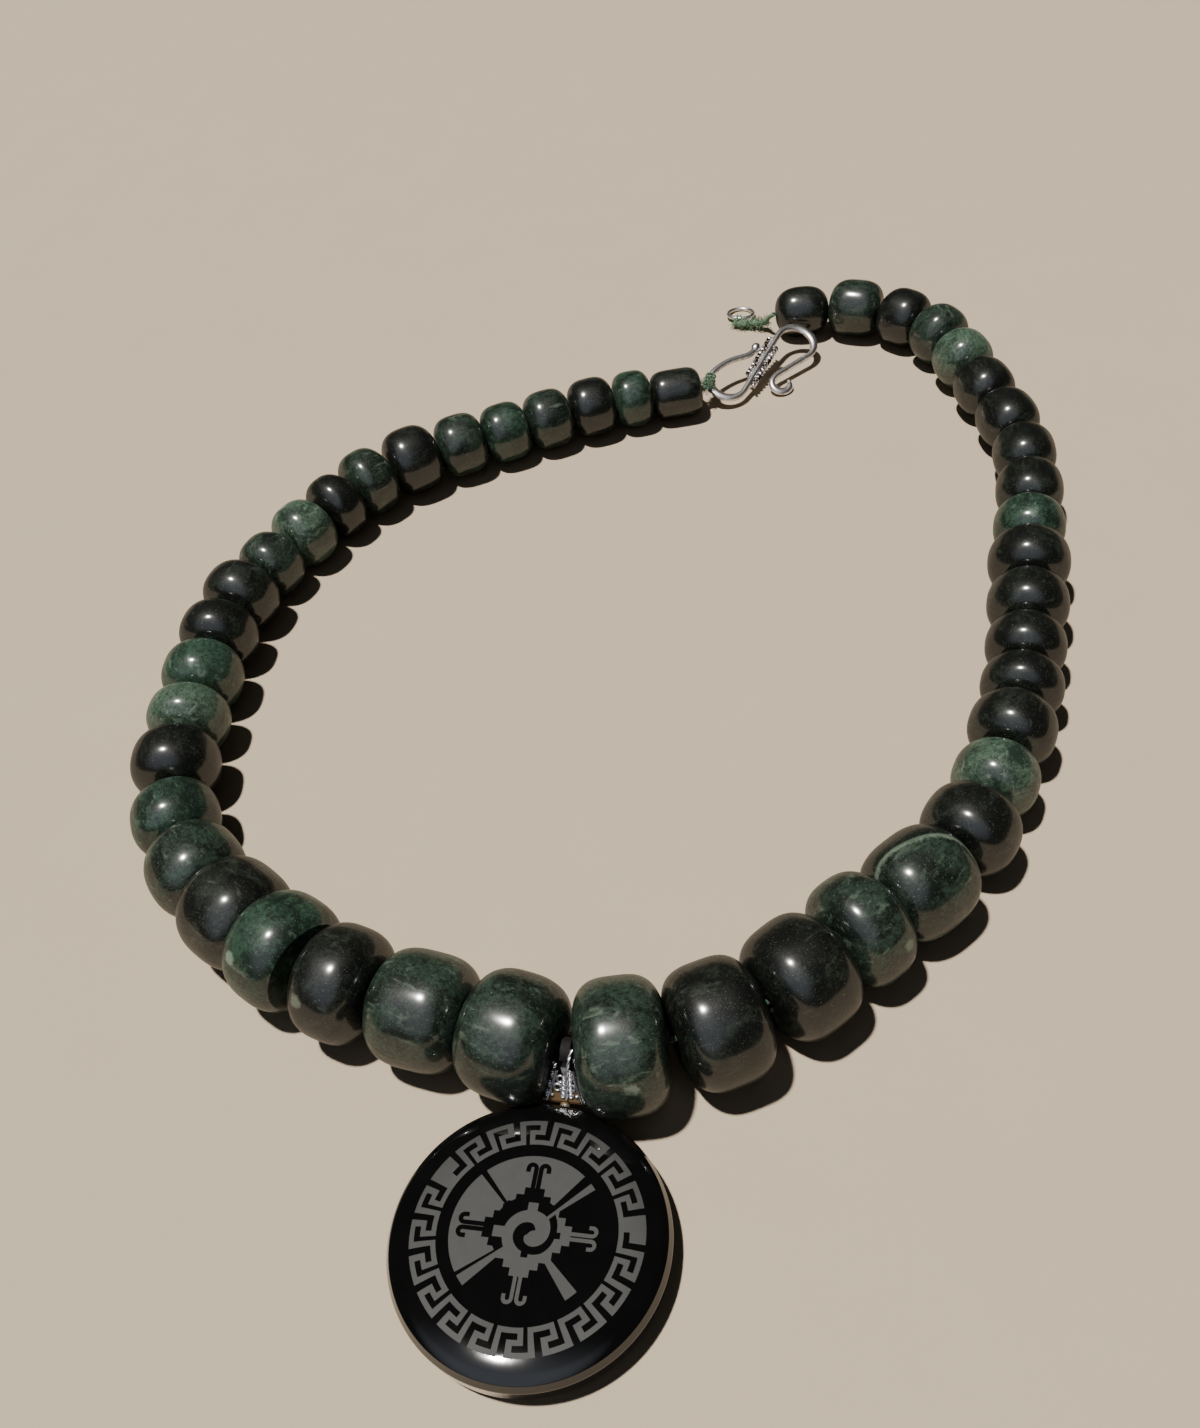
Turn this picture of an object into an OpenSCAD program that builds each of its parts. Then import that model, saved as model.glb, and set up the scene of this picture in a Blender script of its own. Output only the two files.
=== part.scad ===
// A string of graded jade barrels, laid open on a table, with an engraved obsidian disc
// hanging from a silver bail at the front and a silver hook and ring at the back ends.
// Lengths are millimetres. The string starts at the bail and runs to both sides.

/* [Obsidian disc] */
// Diameter of the disc at its girdle
disc_d = 37.9; // [36.1:0.2:38.1]
// Thickness of the disc
disc_t = 7; // [6.5:0.1:7.5]
// Radius of the flat front face, inside the rounded shoulder
face_r = 15.8; // [15.7:0.1:16.2]
// How far in front of the string the centre of the disc lies
disc_reach = 24.5; // [24.5:0.1:26]
// Depth of the frosted engraving
engraving_depth = 0.15; // [0.1:0.05:0.4]
// Turn of the engraving on the disc, anticlockwise
engraving_turn = 5; // [0:1:15]
// Outer radius of the fret ring
fret_r = 15.5; // [15:0.05:15.6]
// Width of the fret ring
fret_width = 3.6; // [3:0.1:3.8]
// Radius of the round field inside the fret ring
field_r = 10.3; // [10:0.1:10.8]

/* [Beads] */
// Drilled hole through each bead
hole_d = 2.2; // [1.8:0.1:2.4]
// Air left between neighbouring beads
bead_gap = 0.2; // [0.1:0.05:0.5]
// Room left on the string for the eye of the bail
bail_room = 2.4; // [2.2:0.1:3]

/* [Bail] */
// Width of the bail's eye along the string
eye_width = 1.4; // [1.2:0.1:1.6]
// Inner radius of the eye that the thread runs through
eye_r = 1.3; // [1:0.1:1.5]
// Thickness of the silver sheet
sheet_t = 0.6; // [0.5:0.1:0.8]
// Length of the bar at the foot of the bail
bar_length = 5.6; // [5:0.1:5.8]

/* [Clasp] */
// Thickness of the hook's wire
hook_wire_d = 1.2; // [1:0.1:1.3]
// Slope at which the hook leans on the curl of its free end
hook_tilt = 24; // [22:0.5:25]
// Outer diameter of the end ring
ring_d = 7.1; // [6.5:0.1:7.5]
// Thickness of the end ring's wire
ring_wire_d = 0.9; // [0.7:0.1:1]

/* [Thread] */
// Thickness of the thread
thread_d = 0.9; // [0.6:0.1:1]

/* [Hidden] */
// Beads of each strand, from the bail to the clasp. The heading is the turn of the bead's
// axis from the cross direction, squareness is 2 for an oval barrel and more for a tube,
// and the tone picks one of the stone colours.
DIAMETER = 0;
WIDTH = 1;
HEADING = 2;
SQUARENESS = 3;
TONE = 4;
// diameter, width, heading, squareness, tone
left_strand = [
    [18.5, 13.5, 9, 3.0, 1],
    [17.5, 14.5, 5, 3.2, 1],
    [18.0, 12.0, 12, 2.8, 0],
    [18.5, 10.5, 25, 2.8, 2],
    [17.5, 13.0, 28, 2.8, 0],
    [16.0, 12.5, 40, 2.6, 1],
    [15.0, 12.0, 56, 2.6, 2],
    [15.5, 12.0, 72, 2.6, 0],
    [15.0, 10.0, 78, 2.6, 3],
    [15.0, 11.5, 78, 2.6, 2],
    [15.0, 10.5, 83, 2.6, 0],
    [15.0, 11.0, 94, 2.6, 0],
    [13.5, 10.0, 105, 2.6, 1],
    [14.0, 10.5, 110, 2.6, 3],
    [14.0, 9.0, 112, 2.6, 0],
    [14.5, 9.5, 121, 2.8, 1],
    [14.5, 11.5, 138, 2.8, 0],
    [13.5, 10.5, 146, 3.0, 1],
    [13.0, 10.0, 146, 3.0, 2],
    [13.0, 10.0, 146, 3.0, 1],
    [13.0, 10.0, 151, 3.0, 0],
    [12.5, 8.5, 155, 3.0, 2],
    [11.0, 12.0, 158, 4.0, 0],
];
// diameter, width, heading, squareness, tone
right_strand = [
    [19.5, 12.5, 18, 3.2, 1],
    [18.5, 13.0, 34, 3.2, 0],
    [18.0, 13.0, 52, 3.0, 0],
    [17.5, 11.0, 52, 2.8, 1],
    [16.5, 14.0, 52, 2.8, 1],
    [15.5, 12.0, 69, 2.6, 0],
    [14.0, 11.0, 78, 2.6, 3],
    [14.5, 11.0, 79, 2.6, 0],
    [14.0, 9.0, 87, 2.6, 0],
    [14.0, 10.0, 89, 2.6, 0],
    [14.5, 11.0, 90, 2.6, 0],
    [15.0, 11.0, 91, 2.6, 0],
    [13.5, 11.0, 90, 2.6, 2],
    [13.0, 12.0, 92, 2.6, 0],
    [12.5, 12.0, 100, 2.6, 0],
    [12.5, 12.5, 114, 2.6, 0],
    [12.5, 12.0, 116, 2.6, 0],
    [13.0, 11.0, 116, 2.6, 3],
    [13.5, 10.0, 129, 2.6, 1],
    [13.0, 10.5, 150, 2.8, 0],
    [13.0, 12.0, 174, 3.0, 1],
    [11.5, 12.5, 194, 2.6, 0],
];
// black, dark green, green and pale green stone
stone_tones = ["#15181a", "#20312b", "#3b5a4d", "#6b8f80"];

LEFT = -1;
RIGHT = 1;
// The bail's room on the string counts as a thin first bead
bail_room_row = [0.1, bail_room, 0, 4, 0];
left = concat([bail_room_row], left_strand);
right = concat([bail_room_row], right_strand);

hole_r = hole_d / 2;
mouth_r = hole_r + 0.4;
thread_r = thread_d / 2;
bead_steps = 14;

// How far a bead reaches from its centre in a direction turned from its axis
function reach(bead, turn) =
    let (power = bead[SQUARENESS] / (bead[SQUARENESS] - 1))
    pow(pow(bead[WIDTH] / 2 * abs(cos(turn)), power)
        + pow(bead[DIAMETER] / 2 * abs(sin(turn)), power), 1 / power);

// Distance along a bead's axis to the point where the thread bends towards its neighbour
function lead(bead, neighbour) =
    let (half_bend = abs(bead[HEADING] - neighbour[HEADING]) / 2)
    (reach(bead, half_bend) + bead_gap / 2) / cos(half_bend);

function facing(bead, side) = [side * cos(bead[HEADING]), sin(bead[HEADING])];

// Plan position of bead i, reached from the bail by stepping from bead to bead
function place(strand, side, i) =
    i == 0 ? [0, 0] :
    bend_point(strand, side, i - 1) + lead(strand[i], strand[i - 1]) * facing(strand[i], side);

// Point between beads i and i + 1 where the thread changes direction
function bend_point(strand, side, i) =
    place(strand, side, i) + lead(strand[i], strand[i + 1]) * facing(strand[i], side);

function mean_height(a, b) = (a[DIAMETER] + b[DIAMETER]) / 4;

// Disc
disc_r = disc_d / 2;
disc_x = 0.9;
disc_y = -disc_reach;
foot_r = disc_r - 1.6;
girdle_z = 2.6;
shoulder_z = 3.4;
shoulder_steps = 8;

// Fret ring: keys of five rows, with a plain block in two places
fret_units = 20;
fret_block_units = [0, 8];
fret_start = 69;
unit_turn = 360 / fret_units;
// from, to along the key and outer, inner across it, as parts of the key's own size
key_bars = [
    [0, 0.19, 0, 1],
    [0, 0.82, 0, 0.2],
    [0.62, 0.82, 0, 0.6],
    [0.31, 0.82, 0.4, 0.6],
    [0.31, 0.5, 0.4, 1],
    [0.31, 1.05, 0.8, 1],
];
block_bars = [
    [0, 0.82, 0, 0.6],
    [0, 0.5, 0, 1],
    [0, 1.05, 0.8, 1],
];

// Motif in the round field
// half width and reach of the steps of each arm
arm_steps = [[1.3, 5.8], [2.3, 4.8], [3.3, 3.8]];
crook_line = 0.56;
crook_out = 0.34;
crook_r = 0.8;
crook_top = 9.3;
crook_tail = 0.5;
hub_r = 3.4;
dark_hub_r = 4.7;
light_hub_r = 4.2;
spiral_shift = [0.2, -0.5];
// clockwise angle, inner and outer radius of the dark spiral
spiral_stations = [
    [45, 3.4, 4.4],
    [90, 2.7, 3.5],
    [135, 1.85, 2.95],
    [180, 1.1, 2.15],
    [225, 0.65, 1.95],
    [270, 0.4, 1.9],
    [330, 0.15, 1.8],
    [375, 0.5, 1.65],
    [405, 1.1, 1.2],
];
spiral_inner = [for (s = spiral_stations) [s[0], s[1]]];
spiral_outer = [for (s = spiral_stations) [s[0], s[2]]];
spiral_step = 10;

// Bail, sloping from the string down to the edge of the disc
string_z = mean_height(left[1], right[1]);
bail_x = 0.3;
bail_turn = 4;
bar_y = -4.85;
bar_z = 4.4;
bar_r = 0.45;
bail_drop = string_z - bar_z;
bail_slope = atan2(bail_drop, -bar_y);
bail_length = norm([bar_y, bail_drop]);
eye_outer_r = eye_r + sheet_t;
leaf_tilt = atan2(eye_r, bail_length);
leaf_waist_y = -2.2;
leaf_waist = 1.1;
leaf_foot = 2.5;
rope_r = 0.28;
scroll_r = 0.5;
scroll_wire_r = 0.2;
granule_r = 0.3;
peg_r = 0.7;
peg_z = 3.9;
peg_length = 5;
peg_play = 0.15;

// Hook: runs of wire from its middle outward, each a straight length and then a bend,
// anticlockwise where the turn is positive
STRAIGHT = 0;
BEND_R = 1;
TURN = 2;
hook_back_runs = [[10.4, 4.45, -204], [8.9, 6, 24], [0, 2.1, 240]];
hook_front_runs = [[8.4, 4.2, -196], [1, 14, -24], [1.8, 5, 45]];
hook_middle = [-1.05, 179.6, 4.35];
hook_heading = -14.5;
hook_wire_r = hook_wire_d / 2;
hook_ball_r = 0.95;
join_bulge = 0.04;
rib_r = 0.45;
rib_offset = 1;
rib_length = 13;
// side of the middle wire and start of each twisted row
rib_rows = [[-1, -4.2], [1, -6.4]];

// End ring, lifted at its near side by the thread tied round it
ring_centre = [-10.2, 207.2];
ring_tilt = 9;
ring_wire_r = ring_wire_d / 2;
ring_bend_r = ring_d / 2 - ring_wire_r;
ring_z = ring_wire_r + ring_bend_r * sin(ring_tilt);

// Ties: thread whipped round itself, with turns that go round the hook or the ring
tie_r = 1.05;
tie_play = 0.1;
turn_r = 0.35;
turn_count = 3;
turn_pitch = 0.65;
tie_start = 0.8;
// Place on the hook's front bend where the thread is tied
hook_tie_turn = 126;
hook_stand_off = 1;
// Way of the thread from the last bead to the ring
ring_route = [[-1.9, 199.8, 4.8], [-2.8, 201, 3], [-3.8, 201.9, 1.8], [-10.9, 202.1, 1.2]];

left_last = len(left) - 1;
right_last = len(right) - 1;

// The origin is under the middle of everything that is laid out
side_ends = concat(
    [for (i = [1 : left_last]) place(left, LEFT, i).x - reach(left[i], left[i][HEADING])],
    [for (i = [1 : right_last]) place(right, RIGHT, i).x + reach(right[i], right[i][HEADING])]);
back_ends = concat(
    [for (i = [1 : right_last]) place(right, RIGHT, i).y + reach(right[i], 90 - right[i][HEADING])],
    [ring_centre.y + ring_d / 2]);
middle = [(min(side_ends) + max(side_ends)) / 2, (disc_y - disc_r + max(back_ends)) / 2, 0];

// Middle of the hook's wire where it is tied
function turned(p, a) = [p.x * cos(a) - p.y * sin(a), p.x * sin(a) + p.y * cos(a), p.z];
function leaned(p, a) =
    let (axis = [1, 1, 0] / sqrt(2))
    cos(a) * p + sin(a) * cross(axis, p) + (1 - cos(a)) * (axis * p) * axis;
hook_bend = hook_front_runs[0][BEND_R];
hook_bend_spot = [hook_bend * (1 - cos(hook_tie_turn)),
    hook_front_runs[0][STRAIGHT] + hook_bend * sin(hook_tie_turn), 0];
hook_tie_at = hook_middle + leaned(turned(hook_bend_spot, 180 + hook_heading), hook_tilt);
left_exit = exit_point(left, LEFT);
hook_tie_way = (hook_tie_at - left_exit) / norm(hook_tie_at - left_exit);
hook_tie_end = hook_tie_at - hook_stand_off * hook_tie_way;

// Ends of the thread's straight pieces, from the hook to the ring
thread_points = concat(
    [hook_tie_end - 0.6 * hook_tie_way, left_exit],
    [for (i = [left_last - 1 : -1 : 0]) lift(bend_point(left, LEFT, i), left[i], left[i + 1])],
    [for (i = [0 : right_last - 1]) lift(bend_point(right, RIGHT, i), right[i], right[i + 1])],
    [exit_point(right, RIGHT)],
    ring_route);
thread_sides = 8;

// A bend point at the height of the thread, which at the bail is that of the string
function lift(point, a, b) =
    [point.x, point.y, min(a[DIAMETER], b[DIAMETER]) < 1 ? string_z : mean_height(a, b)];

// Where the thread leaves the last bead of a strand
function exit_point(strand, side) =
    let (last = len(strand) - 1, bead = strand[last],
         spot = place(strand, side, last) + (bead[WIDTH] / 2 + 0.4) * facing(bead, side))
    [spot.x, spot.y, bead[DIAMETER] / 2];

function two_digits(n) = str(n < 10 ? "0" : "", n);
function bead_name(side_name, i) = str("bead_", side_name, "_", two_digits(i));

$fn = 48;

// Half outline of a bead beside its hole, with a small countersink at each mouth
function bead_outline(bead) =
    let (half_w = bead[WIDTH] / 2,
         r = bead[DIAMETER] / 2,
         power = 2 / bead[SQUARENESS],
         last_turn = acos(pow(mouth_r / r, 1 / power)),
         face = half_w * pow(sin(last_turn), power) - 0.4)
    concat(
        [[hole_r, -face]],
        [for (i = [0 : bead_steps])
            let (turn = last_turn * (2 * i / bead_steps - 1))
            [r * pow(cos(turn), power), half_w * sign(turn) * pow(abs(sin(turn)), power)]],
        [[hole_r, face]]);

module bead(strand, side, i) {
    stone = strand[i];
    spot = place(strand, side, i);
    color(stone_tones[stone[TONE]])
        translate([spot.x, spot.y, stone[DIAMETER] / 2] - middle)
            rotate([0, 90, side * stone[HEADING]])
                rotate_extrude() polygon(bead_outline(stone));
}

// Piece of a ring, with angles clockwise from the top
module ring_piece(from, to, inner, outer) {
    steps = max(1, ceil((to - from) / 3));
    turns = [for (i = [0 : steps]) from + (to - from) * i / steps];
    polygon(concat(
        [for (a = turns) outer * [sin(a), cos(a)]],
        [for (i = [steps : -1 : 0]) inner * [sin(turns[i]), cos(turns[i])]]));
}

module fret_ring() {
    for (unit = [0 : fret_units - 1]) {
        start = -fret_start + unit * unit_turn;
        bars = len(search(unit, fret_block_units)) > 0 ? block_bars : key_bars;
        for (bar = bars)
            ring_piece(start + bar[0] * unit_turn, start + bar[1] * unit_turn,
                fret_r - bar[3] * fret_width, fret_r - bar[2] * fret_width);
    }
}

// One curled line of an arm, rising beside the arm's middle line and turning outward
module crook() {
    line_x = crook_out - crook_line / 2;
    arch_y = crook_top - crook_r;
    translate([line_x, arm_steps[0][1] - 0.1])
        square([crook_line, arch_y - arm_steps[0][1] + 0.1]);
    translate([line_x + crook_r, arch_y])
        intersection() {
            difference() {
                circle(r = crook_r);
                circle(r = crook_r - crook_line);
            }
            translate([-crook_r, 0]) square([2 * crook_r, crook_r]);
        }
    translate([line_x + 2 * crook_r - crook_line, arch_y - crook_tail])
        square([crook_line, crook_tail]);
}

// Stepped base with a pair of crooks, pointing up
module arm() {
    for (step = arm_steps)
        translate([-step[0], 0]) square([2 * step[0], step[1]]);
    crook();
    mirror([1, 0]) crook();
}

// A ray between two clockwise angles
module ray(from, to, inner, outer) {
    ring_piece(from, to, inner, outer);
}

module spiral_band() {
    turns = [for (a = [spiral_stations[0][0] : spiral_step : 405]) a];
    count = len(turns) - 1;
    polygon(concat(
        [for (a = turns) lookup(a, spiral_outer) * [sin(a), cos(a)]],
        [for (i = [count : -1 : 0]) lookup(turns[i], spiral_inner) * [sin(turns[i]), cos(turns[i])]]));
}

// Frosted figure of the round field: light figures on the dark half, dark on the light half
module field_figure() {
    difference() {
        union() {
            difference() {
                ray(-127, 38, 0, field_r);
                circle(r = dark_hub_r);
                arm();
                rotate(90) arm();
                ray(-47.5, -43, 0, field_r + 1);
            }
            intersection() {
                ray(45, 225, 0, field_r);
                union() {
                    circle(r = light_hub_r);
                    rotate(-90) arm();
                    rotate(180) arm();
                }
            }
            ray(45, 51, 3, field_r);
            ray(131, 141, 3, field_r);
            ray(221.5, 230.5, 3, field_r);
            translate(spiral_shift) {
                circle(r = hub_r);
                translate([-0.7, 0]) square([1.4, 4.4]);
                translate([-4.7, -0.6]) square([4.7, 1.5]);
            }
        }
        translate(spiral_shift) {
            spiral_band();
            translate([2.9, 0]) square([1.3, 0.8]);
            translate([-0.4, -2.8]) square([0.85, 1]);
        }
    }
}

// Place of the bail: its own y axis points along the slope away from the disc
module at_bail() {
    translate([bail_x, 0, string_z] - middle) rotate([0, 0, bail_turn]) children();
}

module peg(r, length) {
    at_bail() translate([0, bar_y, peg_z - string_z])
        rotate([90, 0, 0]) cylinder(h = length, r = r);
}

module pendant_disc() {
    shoulder = [for (i = [0 : shoulder_steps])
        let (a = 90 * i / shoulder_steps)
        [face_r + (disc_r - face_r) * cos(a), shoulder_z + (disc_t - shoulder_z) * sin(a)]];
    color("#17181c")
        difference() {
            translate([disc_x, disc_y, 0] - middle)
                difference() {
                    rotate_extrude($fn = 96)
                        polygon(concat([[0, 0], [foot_r, 0], [disc_r, girdle_z]], shoulder, [[0, disc_t]]));
                    translate([0, 0, disc_t - engraving_depth])
                        linear_extrude(engraving_depth + 1)
                            rotate(engraving_turn) {
                                fret_ring();
                                field_figure();
                            }
                }
            peg(peg_r + peg_play, peg_length + 2 * peg_play);
        }
}

// Flat leaf of the bail, from the eye at its narrow end to the bar at its foot
module bail_leaf() {
    translate([0, 0, eye_r])
        rotate([leaf_tilt, 0, 0])
            linear_extrude(sheet_t)
                polygon([[-eye_width / 2, 0], [eye_width / 2, 0], [leaf_waist, leaf_waist_y],
                    [leaf_foot, -bail_length], [-leaf_foot, -bail_length], [-leaf_waist, leaf_waist_y]]);
}

// Scrolls, granules and edge wires soldered on the front leaf
module bail_relief() {
    edge_run = bail_length + leaf_waist_y;
    edge_turn = atan2(leaf_foot - leaf_waist, edge_run);
    translate([0, 0, eye_r])
        rotate([leaf_tilt, 0, 0])
            translate([0, 0, sheet_t]) {
                for (side = [-1, 1]) {
                    translate([side * leaf_waist, leaf_waist_y, 0])
                        rotate([90, 0, side * edge_turn])
                            cylinder(h = edge_run / cos(edge_turn), r = rope_r);
                    for (row = [0, 1])
                        translate([side * (0.55 + 0.45 * row), -3.6 - 1.3 * row, 0])
                            rotate_extrude() translate([scroll_r, 0]) circle(r = scroll_wire_r, $fn = 24);
                    translate([side * 1.75, -bail_length + 0.9, 0]) sphere(r = granule_r, $fn = 24);
                }
                linear_extrude(0.3)
                    polygon([[0, -0.4], [0.5, -1.7], [0.15, -2.9], [-0.15, -2.9], [-0.5, -1.7]]);
            }
}

module bail() {
    color("#d4d4d2") {
        at_bail()
            rotate([bail_slope, 0, 0]) {
                rotate([0, 90, 0])
                    difference() {
                        cylinder(h = eye_width, r = eye_outer_r, center = true);
                        cylinder(h = eye_width + 1, r = eye_r, center = true);
                    }
                difference() {
                    union() {
                        bail_leaf();
                        mirror([0, 0, 1]) bail_leaf();
                    }
                    rotate([0, 90, 0]) cylinder(h = 2 * leaf_foot, r = eye_r, center = true);
                }
                bail_relief();
                translate([0, -bail_length, 0])
                    rotate([0, 90, 0]) cylinder(h = bar_length, r = bar_r, center = true);
                for (side = [-1, 1])
                    translate([side * bar_length / 2, -bail_length, 0]) sphere(r = bar_r, $fn = 32);
            }
        peg(peg_r, peg_length);
    }
}

// Wire bent through its runs, starting at the origin and heading along +Y, with a slight bulge at each join
module bent_wire(runs, r, i = 0) {
    if (i < len(runs)) {
        run = runs[i];
        side = sign(run[TURN]);
        if (run[STRAIGHT] > 0)
            rotate([-90, 0, 0]) cylinder(h = run[STRAIGHT], r = r);
        translate([0, run[STRAIGHT], 0]) sphere(r = r + join_bulge);
        translate([-side * run[BEND_R], run[STRAIGHT], 0]) {
            mirror([side < 0 ? 1 : 0, 0, 0])
                rotate_extrude(angle = abs(run[TURN]))
                    translate([run[BEND_R], 0]) circle(r = r);
            rotate([0, 0, run[TURN]])
                translate([side * run[BEND_R], 0, 0]) {
                    if (i < len(runs) - 1 && runs[i + 1][STRAIGHT] > 0) sphere(r = r + join_bulge);
                    if (i == len(runs) - 1) children();
                    bent_wire(runs, r, i + 1) children();
                }
        }
    }
}

module at_hook() {
    translate(hook_middle - middle)
        rotate(a = hook_tilt, v = [1, 1, 0])
            rotate([0, 0, hook_heading])
                children();
}

module clasp_hook() {
    color("#cfcfcd")
        at_hook() {
            bent_wire(hook_back_runs, hook_wire_r) sphere(r = hook_wire_r + join_bulge);
            rotate([0, 0, 180]) bent_wire(hook_front_runs, hook_wire_r) sphere(r = hook_ball_r);
            for (row = rib_rows)
                translate([row[0] * rib_offset, row[1], 0])
                    rotate([-90, 0, 0]) cylinder(h = rib_length, r = rib_r);
        }
}

module at_ring() {
    translate([ring_centre.x, ring_centre.y, ring_z] - middle) rotate([-ring_tilt, 0, 0]) children();
}

module end_ring() {
    color("#cfcfcd")
        at_ring() rotate_extrude() translate([ring_bend_r, 0]) circle(r = ring_wire_r, $fn = 24);
}

// Whipping round the thread between its two points, hollow for the thread
module whipping(from, to) {
    step = to - from;
    translate(from - middle)
        rotate([0, acos(step.z / norm(step)), atan2(step.y, step.x)])
            difference() {
                cylinder(h = norm(step), r = tie_r);
                translate([0, 0, -1]) cylinder(h = norm(step) + 2, r = thread_r + tie_play);
            }
}

// Turns of thread round a wire that is bent round the origin and meets the x axis
module thread_turns(wire_r, bend_r) {
    for (i = [0 : turn_count - 1])
        rotate([0, 0, (i - (turn_count - 1) / 2) * turn_pitch / bend_r * 180 / PI])
            translate([-bend_r, 0, 0])
                rotate([90, 0, 0])
                    rotate_extrude() translate([wire_r + tie_play + turn_r, 0]) circle(r = turn_r, $fn = 20);
}

module hook_tie() {
    color("#4f8f6d") {
        whipping(left_exit + tie_start * hook_tie_way, hook_tie_end);
        at_hook()
            rotate([0, 0, 180])
                translate([hook_bend, hook_front_runs[0][STRAIGHT], 0])
                    rotate([0, 0, -hook_tie_turn]) thread_turns(hook_wire_r, hook_bend);
    }
}

module ring_tie() {
    start = ring_route[2];
    end = ring_route[3];
    way = (end - start) / norm(end - start);
    color("#4f8f6d") {
        whipping(start + tie_start * way, end + 0.3 * way);
        at_ring() rotate([0, 0, 90]) thread_turns(ring_wire_r, ring_bend_r);
    }
}

// Unit direction of the thread at point i
function direction(points, i) =
    let (step = points[min(i + 1, len(points) - 1)] - points[max(i - 1, 0)])
    step / norm(step);

module thread() {
    rings = [for (i = [0 : len(thread_points) - 1])
        let (along = direction(thread_points, i),
             flat = norm([along.x, along.y]),
             across = [-along.y, along.x, 0] / flat,
             up = cross(along, across))
        for (k = [0 : thread_sides - 1])
            let (a = 360 * k / thread_sides)
            thread_points[i] - middle + thread_r * (cos(a) * across + sin(a) * up)];
    last = len(rings) - thread_sides;
    color("#4f8f6d")
        polyhedron(
            points = rings,
            faces = concat(
                [[for (k = [0 : thread_sides - 1]) k]],
                [for (base = [0 : thread_sides : last - thread_sides])
                    for (k = [0 : thread_sides - 1])
                        let (next = (k + 1) % thread_sides)
                        [base + k, base + thread_sides + k, base + thread_sides + next, base + next]],
                [[for (k = [thread_sides - 1 : -1 : 0]) last + k]]));
}

pendant_disc();
bail();
thread();
clasp_hook();
end_ring();
hook_tie();
ring_tie();
for (i = [1 : left_last])
    bead(left, LEFT, i);
for (i = [1 : right_last])
    bead(right, RIGHT, i);
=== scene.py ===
from math import atan2, cos, pi, radians, sin, sqrt, tau

import bmesh
import bpy
from mathutils import Matrix, Vector


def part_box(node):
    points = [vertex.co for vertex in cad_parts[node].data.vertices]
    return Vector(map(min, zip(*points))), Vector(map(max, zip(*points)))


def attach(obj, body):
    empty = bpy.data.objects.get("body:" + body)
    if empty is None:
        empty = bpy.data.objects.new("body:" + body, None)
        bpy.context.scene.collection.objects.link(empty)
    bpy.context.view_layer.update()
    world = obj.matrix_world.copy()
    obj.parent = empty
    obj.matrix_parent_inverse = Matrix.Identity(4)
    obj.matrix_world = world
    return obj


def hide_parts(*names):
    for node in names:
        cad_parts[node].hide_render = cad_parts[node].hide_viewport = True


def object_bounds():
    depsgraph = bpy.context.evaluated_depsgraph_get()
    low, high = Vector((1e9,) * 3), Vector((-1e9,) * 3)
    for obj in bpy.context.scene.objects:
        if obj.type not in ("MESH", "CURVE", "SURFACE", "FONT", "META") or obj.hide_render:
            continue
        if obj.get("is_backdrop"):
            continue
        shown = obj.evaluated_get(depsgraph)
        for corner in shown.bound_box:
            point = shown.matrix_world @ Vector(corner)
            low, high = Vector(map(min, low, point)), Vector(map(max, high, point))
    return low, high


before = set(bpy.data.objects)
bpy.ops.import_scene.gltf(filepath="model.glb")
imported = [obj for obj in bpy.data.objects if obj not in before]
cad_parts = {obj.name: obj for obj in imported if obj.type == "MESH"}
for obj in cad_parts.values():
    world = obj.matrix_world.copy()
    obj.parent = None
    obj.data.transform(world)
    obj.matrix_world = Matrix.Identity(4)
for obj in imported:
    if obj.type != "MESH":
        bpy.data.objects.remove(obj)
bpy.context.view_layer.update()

# The camera stands over the pendant and looks down along the laid-out string,
# turned a little to one side, as the piece is seen in the photograph.
camera_spot = Vector((0.05798, -0.16393, 0.17331))
camera_turn = radians(20.327)
camera_height = radians(47)
camera_roll = radians(-9)
camera = bpy.data.objects.new("camera", bpy.data.cameras.new("camera"))
camera.data.sensor_fit = "VERTICAL"
camera.data.sensor_height = 36
camera.data.lens = 32.62
camera.data.clip_start = 0.01
camera.matrix_world = (
    Matrix.Translation(camera_spot) @ Matrix.Rotation(camera_turn, 4, "Z")
    @ Matrix.Rotation(pi / 2 - camera_height, 4, "X") @ Matrix.Rotation(camera_roll, 4, "Z"))
bpy.context.scene.collection.objects.link(camera)
bpy.context.scene.camera = camera

# The beads are barrels of dark green and black stone, sawn, drilled lengthwise and
# tumbled to a polish. Each is a little out of round, and no two have the same clouds.
bead_hole = 2.2
hole_lip = 0.4
bead_rows = 33
bead_sides = 72
bead_unevenness = 0.035
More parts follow.
